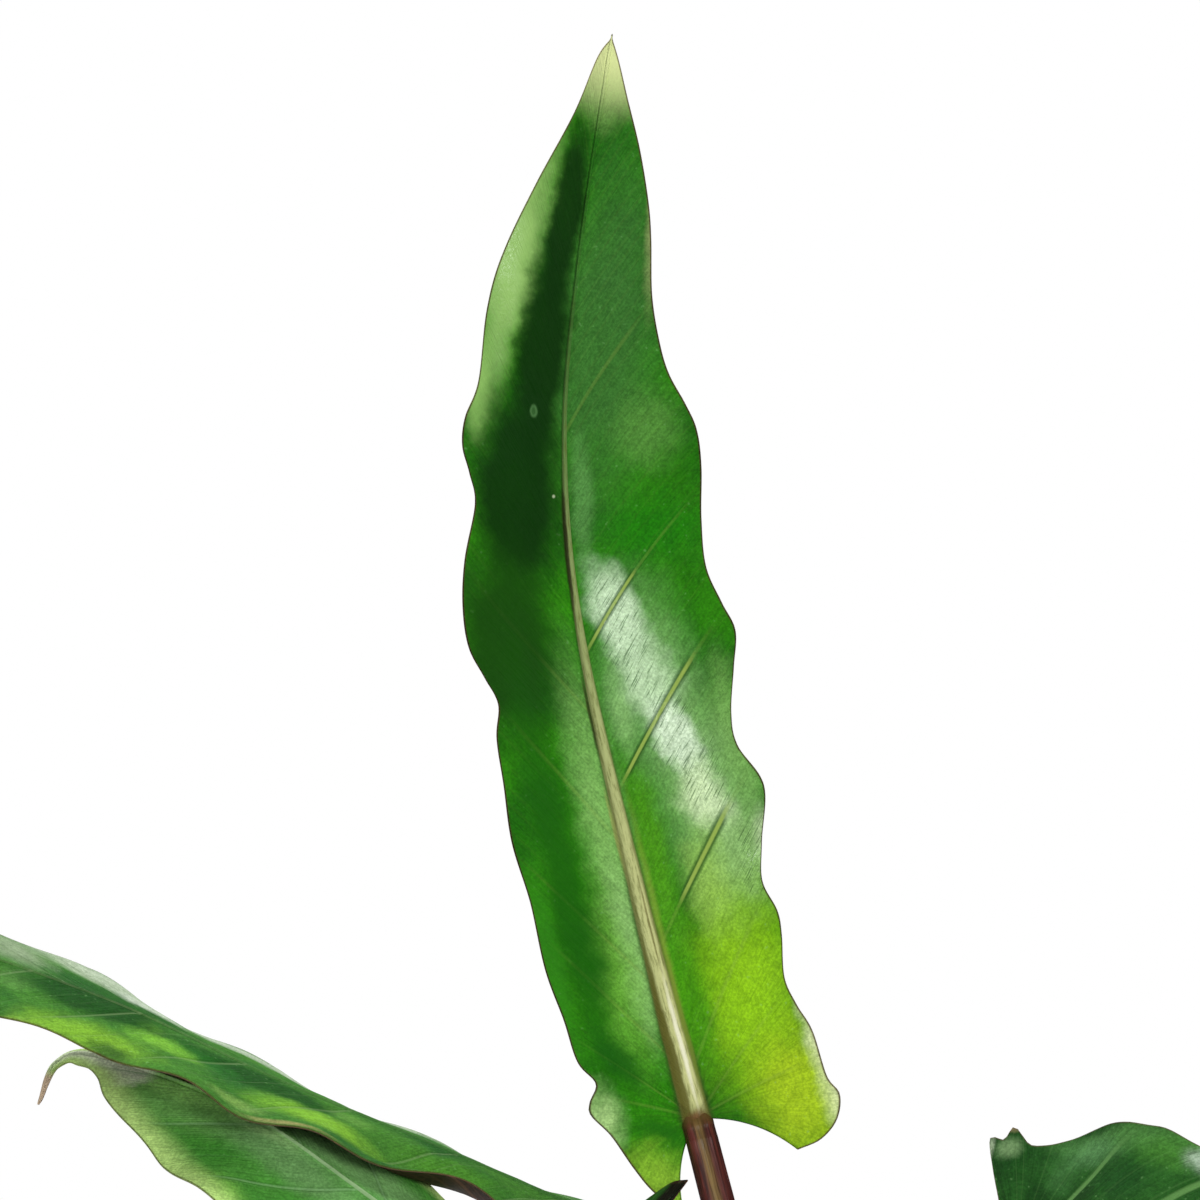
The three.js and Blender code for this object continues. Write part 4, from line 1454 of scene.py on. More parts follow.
@dataclass
class Blade:
    """One blade: a waved sheet with sunken side veins, a raised midrib and a keel below it."""

    form: LeafForm
    upper: LaminaFinish
    swells: tuple[Swell, ...] = ()
    row_spacing: float = 1.0
    row_reach: float = 33.0
    columns: int = 28
    half_thickness: float = 0.4
    rim_half_thickness: float = 0.24
    rim_bulge: float = 0.16
    keel_depth: float = 3.4
    keel_half_width: float = 3.4
    keel_taper: float = 0.75
    sinus_bow: float = 2.4
    vein_bow: float = 1.5
    vein_bow_full_at: float = 36.0
    rib_base: float = 2.2
    rib_tip: float = 0.3
    rib_height: float = 0.55
    main_vein_depth: float = 0.26
    lesser_vein_depth: float = 0.035
    quilt_height: float = 0.2
    unevenness: float = 0.12
    vein_spacing: float = 27.0
    lesser_spacing: float = 5.6
    surface: BladeSurface = field(init=False)
    chance: np.random.Generator = field(init=False)
    ripples: Ripples = field(init=False)

    RIPPLE_PITCH = 17.0
    # Side veins, where the form gives none: shares of their spacing, and millimetres.
    FIRST_VEIN = 0.4
    LEFT_SHIFT = 0.35
    TIP_WITHOUT_VEINS = 20.0

    def __post_init__(self) -> None:
        """Lays out the sheet, the leaf's own chance and its unevenness."""
        seed = int(self.form.name[0])
        self.surface = BladeSurface(self.form)
        self.chance = np.random.default_rng(seed)
        self.ripples = Ripples(seed, self.RIPPLE_PITCH)

    def build(self, underside: bpy.types.Material) -> bpy.types.Object:
        """Builds and dresses the blade.

        Args:
            underside: The material of its lower face.

        Returns:
            The blade, on the frame.
        """
        sculpt = Sculpt(f"Blade_{self.form.name}")
        inner = self._inner_places()
        zero = np.zeros_like(inner)
        seam = unit(sum(self.surface.normal(side, inner, zero) for side in Side))
        for side in Side:
            BladeHalf(self, side, inner).add_to(sculpt, seam)
        piece = sculpt.make([self.upper.material(self.surface.length), underside])
        return dress(piece, "blade", f"blade_{self.form.name}")

    def veins(self, side: Side) -> np.ndarray:
        """Where a half's side veins leave the midrib. Those below 0 fan out into the lobe.

        Args:
            side: The half.

        Returns:
            Their places, in row order.
        """
        if self.form.veins:
            return np.array(self.form.veins[side.value], float)
        shift = self.LEFT_SHIFT if side is Side.LEFT else 0.0
        room = self.surface.length - self.TIP_WITHOUT_VEINS
        steps = np.arange(-1, int(room / self.vein_spacing))
        return (steps + self.FIRST_VEIN + shift) * self.vein_spacing

    def _inner_places(self) -> np.ndarray:
        """Where rows meet the midrib. The row next to a vein is moved on to it.

        Returns:
            Distances along the midrib, from 0 to the tip.
        """
        length = self.surface.length
        places = np.linspace(0, length, int(length / self.row_spacing) + 1)
        for side in Side:
            for vein in self.veins(side):
                k = int(np.argmin(np.abs(places - vein)))
                if 0 < k < len(places) - 1:
                    places[k] = vein
        return places


class BladeHalf:
    """A half of a blade, in rows from the midrib out to the margin as the side veins run.

    The first rows, up to fan, spread from the petiole into the lobe. order is how far along the
    midrib a row starts, or below 0 in the fan, and share how far out on its row a point lies.
    """

    # How rows and their points are spread.
    MARGIN_SAMPLES = 4000
    LOBE_ROW_SPACING = 1.25
    LEAST_LOBE_ROWS = 8
    LEAST_REACH = 1e-6
    CROWDING = 1.45
    RIM_COLUMNS = (0.982, 0.993)
    SEAM_SHARE = 0.12
    # The left half's rows lie this far from the right half's in the map of rows.
    HALVES_APART = 400
    # Lesser veins, by their spacing and in millimetres.
    LESSER_STRAY = 0.25
    LESSER_START = 2.0
    FAN_BLEND = 10.0
    LEAST_LEAN = 0.25
    # The low relief: widths in millimetres, and those of the midrib in its half widths.
    CALM_BY_EDGE = 9.0
    CALM_BY_RIB = (1.0, 6.0)
    CALM_BY_TIP = 40.0
    GROOVE_WIDTH = 0.85
    GROOVE_FADE = 0.6
    GROOVE_FADES_FROM = 0.4
    QUILT_WIDTH = 4.2
    LESSER_WIDTH = 0.7
    RIDGE_SPAN = 1.15
    RIDGE_FULLNESS = 0.7
    TROUGH_DEPTH = 0.28
    TROUGH_AT = 1.5
    TROUGH_WIDTH = 0.6
    RIB_AT_TIP = 0.3
    SWELL_FROM_RIB = 5.0
    THIN_BY_EDGE = 4.0
    KEEL_ENDS = (-1.0, 12.0)

    def __init__(self, blade: Blade, side: Side, inner: np.ndarray) -> None:
        """Lays out the rows.

        Args:
            blade: The blade.
            side: Which half.
            inner: Where the main rows meet the midrib.
        """
        self.blade, self.side, self.surface = blade, side, blade.surface
        even = np.linspace(0, 1, blade.columns + 1) ** self.CROWDING
        self.share = np.sort(np.r_[even, self.RIM_COLUMNS])
        self._lay_rows(inner)
        self.signed = side.sign * self.across
        self.from_edge = (1 - self.share) * self.reach
        behind = np.hypot(self.along, self.across)
        self.from_rib = np.where(self.along >= 0, np.abs(self.across), behind)
        self.from_rib[-1, :] = 0
        left = 1 - np.clip(self.along / self.surface.length, 0, 1)
        self.rib_half = blade.rib_tip + (blade.rib_base - blade.rib_tip) * left**2.5
        self._measure_veins()

    def _lay_rows(self, inner: np.ndarray) -> None:
        """Places every point along and across the midrib.

        Args:
            inner: Where the main rows meet the midrib.
        """
        blade = self.blade
        fine = self.surface.margin[self.side].at(np.linspace(0, 1, self.MARGIN_SAMPLES))
        end = int(np.nonzero(fine[:, 0] <= blade.row_reach)[0][-1])
        round_lobe, rising = fine[: end + 1], fine[end:]
        walked = np.r_[0, np.cumsum(np.linalg.norm(np.diff(round_lobe, axis=0), axis=1))]
        steps = int(walked[-1] / (self.LOBE_ROW_SPACING * blade.row_spacing))
        order = np.linspace(-walked[-1], 0, max(steps, self.LEAST_LOBE_ROWS) + 1)[:-1]
        for vein in blade.veins(self.side):
            if vein < 0:
                order[int(np.argmin(np.abs(order[1:] - vein))) + 1] = vein
        reached = order + walked[-1]
        lobe = np.stack([np.interp(reached, walked, round_lobe[:, k]) for k in (0, 1)], 1)
        share = 1 + order / walked[-1]
        settle = np.minimum(1, lobe[:, 1] / blade.vein_bow_full_at)
        fan_bow = blade.sinus_bow * (1 - share) ** 2 - blade.vein_bow * settle * share**4

        along = inner + blade.row_reach * (1 - (inner / self.surface.length) ** 4)
        across = np.interp(along, rising[:, 0], rising[:, 1])
        across[-1] = 0
        main_bow = -blade.vein_bow * np.minimum(1, across / blade.vein_bow_full_at)

        start = np.r_[np.zeros(len(order)), inner][:, None]
        run = np.r_[lobe[:, 0], along][:, None] - start
        wide = np.r_[lobe[:, 1], across][:, None]
        bend = 4 * self.share * (1 - self.share) * np.r_[fan_bow, main_bow][:, None]
        self.reach = np.maximum(np.hypot(run, wide), self.LEAST_REACH)
        self.lean = wide / self.reach
        self.along = start + run * self.share + bend * self.lean
        self.across = wide * self.share - bend * run / self.reach
        self.order, self.fan = np.r_[order, inner], len(order)

    def _measure_veins(self) -> None:
        """Finds how far each point is from the nearest main and lesser side vein."""
        order, spacing = self.order, self.blade.lesser_spacing
        in_fan = 1 - smooth_step(order, -self.FAN_BLEND, 0)[:, None]
        spread = in_fan * self.share + (1 - in_fan) * np.maximum(self.lean, self.LEAST_LEAN)
        start = order[0] - self.LESSER_START
        count = int((order[-1] - start) / spacing)
        drift = self.blade.chance.uniform(-self.LESSER_STRAY, self.LESSER_STRAY, count) * spacing
        lesser_at = start + spacing * np.arange(count) + drift
        self.main, self.lesser = (
            np.abs(order[:, None] - at).min(1)[:, None] * spread
            for at in (self.blade.veins(self.side), lesser_at)
        )

    def add_to(self, sculpt: Sculpt, seam: np.ndarray) -> None:
        """Adds the half's upper face, lower face and rim.

        Args:
            sculpt: The piece.
            seam: The upper face's direction on the midrib, which both halves share.
        """
        fan = self.fan
        spots = self.surface.spot(self.side, self.along, self.across)
        spots[:fan, 0] = spots[fan, 0]
        spots[-1, :] = spots[-1, 0]
        normals = self.surface.normal(self.side, self.along, self.across)
        by_row = np.r_[np.repeat(seam[:1], fan, 0), seam]
        normals[:, 0] = by_row
        normals[-1, :] = seam[-1]
        near = np.clip(self.share / self.SEAM_SHARE, 0, 1)[None, :, None]
        normals = unit(near * normals + (1 - near) * by_row[:, None])
        spots = spots + normals * self._relief()[..., None]
        half = self._half_thickness()
        upper = spots + normals * half[..., None]
        lower = spots - normals * (half + self._keel())[..., None]

        order = self.order[:, None] + self.HALVES_APART * self.side.value
        out = self.share * self.reach
        maps = {
            "Leaf": np.stack([self.along, self.signed], -1),
            "Rows": np.stack([np.broadcast_to(order, out.shape), out], -1),
            "Lines": np.stack([self.main, self.lesser], -1),
            "Edge": np.stack([self.from_edge, self.from_rib / self.rib_half], -1),
        }
        left = self.side is Side.LEFT
        sculpt.add_grid(upper, maps, 0, flip=left)
        sculpt.add_grid(lower, maps, 1, flip=not left)
        rows, columns = out.shape
        path = [(0, j) for j in range(columns - 1)] + [(i, columns - 1) for i in range(rows)]
        i, j = np.array(path).T
        edge = spots[i, j]
        outward = unit(np.cross(np.gradient(edge, axis=0), normals[i, j]))
        outward *= self.side.sign * self.blade.rim_bulge
        outward[0] = outward[-1] = 0
        strip = np.stack([upper[i, j], edge + outward, lower[i, j]], 1)
        pair = {name: np.stack([value[i, j]] * 2, 1) for name, value in maps.items()}
        sculpt.add_grid(strip[:, :2], pair, 0, flip=not left)
        sculpt.add_grid(strip[:, 1:], pair, 1, flip=not left)

    def _relief(self) -> np.ndarray:
        """The low relief: sunken veins, the quilting between them and the raised midrib.

        Returns:
            Height above the sheet for each point.
        """
        blade, from_rib, rib_half = self.blade, self.from_rib, self.rib_half
        calm = smooth_step(self.from_edge, 0, self.CALM_BY_EDGE)
        calm *= smooth_step(from_rib, *self.CALM_BY_RIB)
        out = 1 - self.from_edge / self.reach
        fade = 1 - self.GROOVE_FADE * smooth_step(out, self.GROOVE_FADES_FROM, 1)
        groove = -blade.main_vein_depth * bell(self.main, self.GROOVE_WIDTH) * fade
        quilt = blade.quilt_height * (1 - bell(self.main, self.QUILT_WIDTH))
        fine = -blade.lesser_vein_depth * bell(self.lesser, self.LESSER_WIDTH)
        uneven = blade.unevenness * blade.ripples.height(self.along, self.signed)
        swell = np.zeros_like(from_rib)
        for rise in blade.swells:
            along, across = self.along - rise.along, self.signed - rise.across
            swell += rise.height * bell(along, rise.reach[0]) * bell(across, rise.reach[1])
        swell *= smooth_step(from_rib, 0, self.SWELL_FROM_RIB)
        rounded = np.clip(1 - (from_rib / (self.RIDGE_SPAN * rib_half)) ** 2, 0, 1)
        ridge = blade.rib_height * rounded**self.RIDGE_FULLNESS
        beside = from_rib - self.TROUGH_AT * rib_half
        trough = -self.TROUGH_DEPTH * bell(beside, self.TROUGH_WIDTH * rib_half)
        taper = smooth_step(self.surface.length - self.along, 0, self.CALM_BY_TIP)
        at_rib = (ridge + trough) * (self.RIB_AT_TIP + (1 - self.RIB_AT_TIP) * taper)
        relief = (groove + quilt + fine + uneven) * calm * taper + swell + at_rib
        relief[-1, :] = 0
        relief[: self.fan + 1, 0] = relief[self.fan, 0]
        return relief

    def _half_thickness(self) -> np.ndarray:
        """Half the sheet's thickness, which falls off towards the rim."""
        rim, full = self.blade.rim_half_thickness, self.blade.half_thickness
        return rim + (full - rim) * smooth_step(self.from_edge, 0, self.THIN_BY_EDGE)

    def _keel(self) -> np.ndarray:
        """How far the midrib stands out below.

        Returns:
            The depth below the sheet for each point.
        """
        blade, length = self.blade, self.surface.length
        taper = 1 - blade.keel_taper * np.clip(self.along / length, 0, 1)
        rounded = np.clip(1 - (self.from_rib / (blade.keel_half_width * taper)) ** 2, 0, 1)
        depth = blade.keel_depth * taper * np.sqrt(rounded)
        depth[-1, :] = blade.rim_half_thickness
        depth[: self.fan + 1, 0] = depth[self.fan, 0]
        return depth * smooth_step(length - self.along, *self.KEEL_ENDS)


def add_stalk(sculpt: Sculpt, rings: np.ndarray, walked: np.ndarray, around: np.ndarray) -> None:
    """Adds a stalk or sleeve that is closed at both ends.

    Args:
        sculpt: The piece.
        rings: Rings by points by three.
        walked: How far along the stalk each ring lies.
        around: How far round it each point of a ring lies, below 0 on one side.
    """
    place = np.stack(np.broadcast_arrays(walked[:, None], around), -1)
    sculpt.add_grid(rings, {"Stalk": place})
    for end, order in ((0, 1), (-1, -1)):
        centre = np.broadcast_to(rings[end, :-1].mean(0), rings[end].shape)
        tip = np.full((2, len(centre), 2), (walked[end], 0.0))
        sculpt.add_grid(np.stack([centre, rings[end]][::order]), {"Stalk": tip})


@dataclass
class Petiole:
    """One leaf stalk, grooved on the side that faces the stem, and its collar under the blade."""

    form: LeafForm
    foot_radius: float = 6.0
    top_radius: float = 3.8
    sheath_foot: float = 116.0
    sheath_top: float = 158.0
    sheath_foot_ring: float = 6.2
    sheath_top_ring: float = 15.5
    channel_share: float = 0.24
    channel_half_turn: float = 0.66
    sides: int = 36
    ring_spacing: float = 3.0
    collar_length: float = 5.0
    collar_drop: float = 1.6
    collar_rings: tuple[Point, ...] = ((2.5, 3.1, 3.0), (10, 2.3, 2.9), (22, 1.1, 1.8))
    start_below_sheath_top: float = 14.0
    curve: SmoothCurve = field(init=False)
    surface: BladeSurface = field(init=False)

    # The groove's raised lips, in half turns of the groove.
    LIP_HEIGHT = 0.05
    LIP_AT = 1.15
    LIP_WIDTH = 0.35
    # The stalk is thicker than at its top for most of its length, and so is the map round it.
    MAP_THICKER = 1.2
    # Where the collar's first rings lie on it, and how soon its front turns to the upper face.
    COLLAR_STARTS = (0.0, 0.5, 0.85)
    TURNED_AT_ONCE = 0.6
    COLLAR_STEPS = 5

    def __post_init__(self) -> None:
        """Lays the centreline from the stem up to the blade."""
        bearing = self.form.bearing
        turn = math.radians(bearing or 0)
        ring = (0.0, 0.0) if bearing is None else (self.sheath_foot_ring, self.sheath_top_ring)
        foot, top = (
            (reach * math.cos(turn), reach * math.sin(turn), height)
            for reach, height in zip(ring, (self.sheath_foot, self.sheath_top))
        )
        self.curve = SmoothCurve([foot, top, *self.form.petiole, self.form.spine[0]])
        self.surface = BladeSurface(self.form)

    def sheath_end(self) -> float:
        """How far along its centreline the petiole leaves the top of its sheath."""
        heights = self.curve.at(np.linspace(0, 1, self.curve.DIVISIONS + 1))[:, 2]
        return float(self.curve.walked[np.argmax(heights >= self.sheath_top)])

    def section(self, radius: np.ndarray) -> np.ndarray:
        """Radii round the stalk, pulled in at the groove.

        Args:
            radius: The stalk's radius, ring by ring.

        Returns:
            Radii by ring and by point round it.
        """
        turn = np.linspace(0, 2 * math.pi, self.sides + 1)
        off = np.minimum(turn, 2 * math.pi - turn) / self.channel_half_turn
        hollow = np.cos(0.5 * math.pi * np.minimum(off, 1)) ** 2
        groove = self.channel_share * np.where(off < 1, hollow, 0)
        lips = self.LIP_HEIGHT * bell(off - self.LIP_AT, self.LIP_WIDTH)
        return radius[:, None] * (1 - groove + lips)[None, :]

    def build(self) -> bpy.types.Object:
        """Builds and dresses the petiole.

        Returns:
            The petiole, on the frame.
        """
        length = self.curve.length
        start = self.sheath_end() - self.start_below_sheath_top
        collar_from = length - self.collar_length
        along = np.linspace(start, collar_from, int((collar_from - start) / self.ring_spacing))
        channel = np.array(self.form.channel, float)
        radius = self.foot_radius + (self.top_radius - self.foot_radius) * along / length
        rings = tube_rings(
            self.curve.point(along / length),
            self.curve.tangent(along / length),
            np.broadcast_to(channel, (len(along), 3)),
            self.section(radius),
        )
        collar, collar_along = self._collar(channel)
        rings = np.concatenate([rings, collar[1:]])
        walked = np.r_[along, collar_along[1:]]
        sculpt = Sculpt(f"Petiole_{self.form.name}")
        turn = np.linspace(0, 2 * math.pi, self.sides + 1)
        signed = np.where(turn <= math.pi, turn, turn - 2 * math.pi)
        around = signed * self.top_radius * self.MAP_THICKER
        around[-1] = -around[1] / 2
        add_stalk(sculpt, rings, walked, around)
        finish = StalkFinish(f"Petiole_maroon_{self.form.name}", float(length))
        piece = sculpt.make([finish.material()])
        return dress(piece, "petiole", f"petiole_{self.form.name}")

    def _collar(self, channel: np.ndarray) -> tuple[np.ndarray, np.ndarray]:
        """Rings that swing from the petiole's direction into the midrib's.

        Args:
            channel: The petiole's grooved side.

        Returns:
            The rings, and how far along the stalk each lies.
        """
        length = self.curve.length
        _, _, up, _ = self.surface.frame_at(np.zeros(1))
        at = np.array(self.COLLAR_STARTS)
        share = 1 - self.collar_length * (1 - at) / length
        centres = [self.curve.point(share) - self.collar_drop * at[:, None] * up]
        tangents = [self.curve.tangent(share)]
        fronts = [np.broadcast_to(channel, (len(at), 3))]
        radii = [self.top_radius] * len(at)
        for along, radius, drop in self.collar_rings:
            point, tangent, above, _ = self.surface.frame_at(np.array([float(along)]))
            centres.append(point - drop * above)
            tangents.append(tangent)
            toward = min(1, along / self.surface.length + self.TURNED_AT_ONCE)
            fronts.append((1 - toward) * channel + toward * above)
            radii.append(radius)
        lines = (np.concatenate(line) for line in (centres, tangents, fronts))
        keys = tube_rings(*lines, self.section(np.array(radii)))
        past = np.array([ring[0] for ring in self.collar_rings])
        walked = np.r_[length - self.collar_length * (1 - at), length + past]
        flat = SmoothCurve(keys.reshape(len(keys), -1))
        steps = np.linspace(0, 1, self.COLLAR_STEPS * (len(keys) - 1) + 1)
        spread = np.interp(steps, np.linspace(0, 1, len(keys)), walked)
        return flat.at(steps).reshape(len(steps), *keys.shape[1:]), spread


@dataclass
class Crown:
    """The short stem, ringed with old leaf scars, and the open sheaths round the petioles."""

    petioles: list[Petiole]
    bottom: float = 96.0
    bottom_radius: float = 12.2
    radius: float = 17.0
    shoulder: float = 108.0
    top: float = 142.0
    top_radius: float = 12.0
    above_soil: float = 130.9
    flare: float = 1.03
    wing: float = 1.7
    wing_reach: float = 9.0
    scar_depth: float = 0.6
    segments: int = 64

    # The scars: how many points draw them, how steeply they turn, and how narrow they are.
    SCARS_ABOVE_SHOULDER = 1.0
    SCAR_POINTS = 26
    SCAR_TURN = 1.6
    SCAR_SHARPNESS = 3
    TIP_RADIUS = 5.0
    TIP_DROP = 1.5

    # The sheaths: turns and widths in radians round the petiole, lengths in millimetres.
    SHEATH_RINGS = 26
    WING_AT = 0.62
    WING_WIDTH = 0.2
    WING_FROM = 0.3
    OPENING = 0.16
    OPENING_WIDTH = 0.4
    CLOSES_OVER = 6.0
    LOOSE = 0.35
    TUCKED = 0.9

    def build(self) -> list[bpy.types.Object]:
        """Builds and dresses the stem and the sheaths.

        Returns:
            Both pieces, on the frame.
        """
        stem = Sculpt("Stem")
        stem.add_grid(turned_rings(self._profile(), self.segments))
        stem_piece = dress(stem.make([STEM.material()]), "crown", "crown")
        sheaths = Sculpt("Sheaths")
        for petiole in self.petioles:
            self._add_sheath(sheaths, petiole)
        sheath_piece = dress(sheaths.make([SheathFinish().material()]), "crown")
        return [stem_piece, sheath_piece]

    def _profile(self) -> list[Station]:
        """The stem's outline, with the scars as shallow rings.

        Returns:
            Radius and height of each point, from the bottom up.
        """
        corners = [(0, self.bottom), (self.bottom_radius, self.bottom), (self.radius, self.shoulder)]
        scars = []
        lowest = self.shoulder + self.SCARS_ABOVE_SHOULDER
        for height in np.linspace(lowest, self.above_soil, self.SCAR_POINTS):
            ring = max(0.0, math.sin(height * self.SCAR_TURN))
            scars.append((self.radius - self.scar_depth * ring**self.SCAR_SHARPNESS, float(height)))
        middle = (self.top_radius, (self.above_soil + self.top) / 2)
        tip = [(self.TIP_RADIUS, self.top - self.TIP_DROP), (0, self.top)]
        return [*corners, *scars, middle, *tip]

    def _add_sheath(self, sheaths: Sculpt, petiole: Petiole) -> None:
        """Adds one sheath, a sleeve whose two edges stand open along the groove.

        Args:
            sheaths: The piece.
            petiole: The petiole that it holds.
        """
        curve = petiole.curve
        end = petiole.sheath_end()
        along = np.linspace(0, end + self.wing_reach, self.SHEATH_RINGS)
        share = along / curve.length
        foot = petiole.foot_radius * self.flare
        base = foot + (petiole.top_radius - foot) * share
        turn = np.linspace(0, 2 * math.pi, petiole.sides + 1)
        off = np.minimum(turn, 2 * math.pi - turn)
        wings = bell(off - self.WING_AT, self.WING_WIDTH)[None, :]
        rise = smooth_step(along, self.WING_FROM * end, end)[:, None]
        closing = smooth_step(along, end - self.CLOSES_OVER, end + self.wing_reach)[:, None]
        opening = self.OPENING * bell(off, self.OPENING_WIDTH)
        sleeve = base[:, None] * (1 - opening)[None, :]
        loose = (self.wing * wings * rise + self.LOOSE) * (1 - closing)
        radii = sleeve + loose - self.TUCKED * closing
        front = np.broadcast_to(np.array(petiole.form.channel, float), (len(along), 3))
        rings = tube_rings(curve.point(share), curve.tangent(share), front, radii)
        signed = np.where(turn <= math.pi, turn, turn - 2 * math.pi)
        add_stalk(sheaths, rings, along, signed * petiole.foot_radius)


# The pot and what is in it.


@dataclass
class Pot:
    """A tapered grower's pot with a banded rim and a ring of drain holes in its floor."""

    height: float = 147.0
    rim_radius: float = 85.0
    foot_radius: float = 58.0
    wall: float = 1.8
    floor: float = 3.0
    foot_bevel: float = 2.5
    rim_depth: float = 19.0
    rim_step: float = 5.2
    rim_wall: float = 2.0
    rim_draft: float = 0.6
    rim_roll: float = 0.8
    drain_count: int = 8
    drain_radius: float = 4.5
    drain_circle: float = 36.0
    segments: int = 192
    drill_segments: int = 40
    sharp_from_degrees: float = 35.0

    def inside_radius(self, height: float) -> float:
        """The radius of the inside wall at a height."""
        foot, top = self.foot_radius + self.foot_bevel, self.rim_radius - self.rim_step
        return foot + (top - foot) * (height / (self.height - self.rim_depth)) - self.wall

    def _profile(self) -> list[Station]:
        """The pot's section, from the middle of the foot up the outside and down the inside.

        Returns:
            Radius and height of each point.
        """
        shoulder = self.height - self.rim_depth
        inner_rim = self.rim_radius - self.rim_wall
        corner = self.floor + self.foot_bevel
        inside = self.inside_radius
        # Radius, height and rounding of each corner.
        return round_profile([
            (0, 0, 0),
            (self.foot_radius, 0, 1.2),
            (self.foot_radius + self.foot_bevel, self.foot_bevel, 1.2),
            (self.rim_radius - self.rim_step, shoulder, 0.9),
            (self.rim_radius - self.rim_draft, shoulder + self.rim_wall, 1.1),
            (self.rim_radius, self.height - self.rim_wall, 0.9),
            (self.rim_radius - self.rim_roll, self.height, 0.7),
            (inner_rim, self.height - self.rim_roll, 0.6),
            (inner_rim - self.rim_draft, shoulder + 2 * self.rim_wall, 1.2),
            (inside(shoulder + self.rim_wall), shoulder + self.rim_wall, 0.8),
            (inside(corner), corner, 2.0),
            (inside(self.floor) - self.foot_bevel, self.floor, 2.0),
            (0, self.floor, 0),
        ])

    def build(self) -> bpy.types.Object:
        """Builds and dresses the pot.

        Returns:
            The pot, on the frame.
        """
        sculpt = Sculpt("Pot")
        sculpt.add_grid(turned_rings(self._profile(), self.segments))
        pot = sculpt.make([PolypropyleneFinish().material()])
        drills = Sculpt("Drain_drills")
        reach, depth = self.drain_radius, 4 * self.floor
        outline = [(0, -depth), (reach, -depth), (reach, depth), (0, depth)]
        rings = turned_rings(outline, self.drill_segments)
        for k in range(self.drain_count):
            turn = 2 * math.pi * k / self.drain_count
            drills.add_grid(rings + self.drain_circle * np.array([math.cos(turn), math.sin(turn), 0]))
        self._cut(pot, drills.make([]))
        return dress(pot, "pot", "pot")

    def _cut(self, pot: bpy.types.Object, drills: bpy.types.Object) -> None:
        """Cuts the drain holes and keeps only the result.

        Args:
            pot: The pot without holes.
            drills: The holes as solids, which are removed.
        """
        cut = pot.modifiers.new("Drain_holes", "BOOLEAN")
        cut.operation, cut.solver, cut.object = "DIFFERENCE", "EXACT", drills
        depsgraph = bpy.context.evaluated_depsgraph_get()
        result = bpy.data.meshes.new_from_object(pot.evaluated_get(depsgraph))
        pot.modifiers.clear()
        pot.data = result
        bpy.data.objects.remove(drills)
        result.set_sharp_from_angle(angle=math.radians(self.sharp_from_degrees))


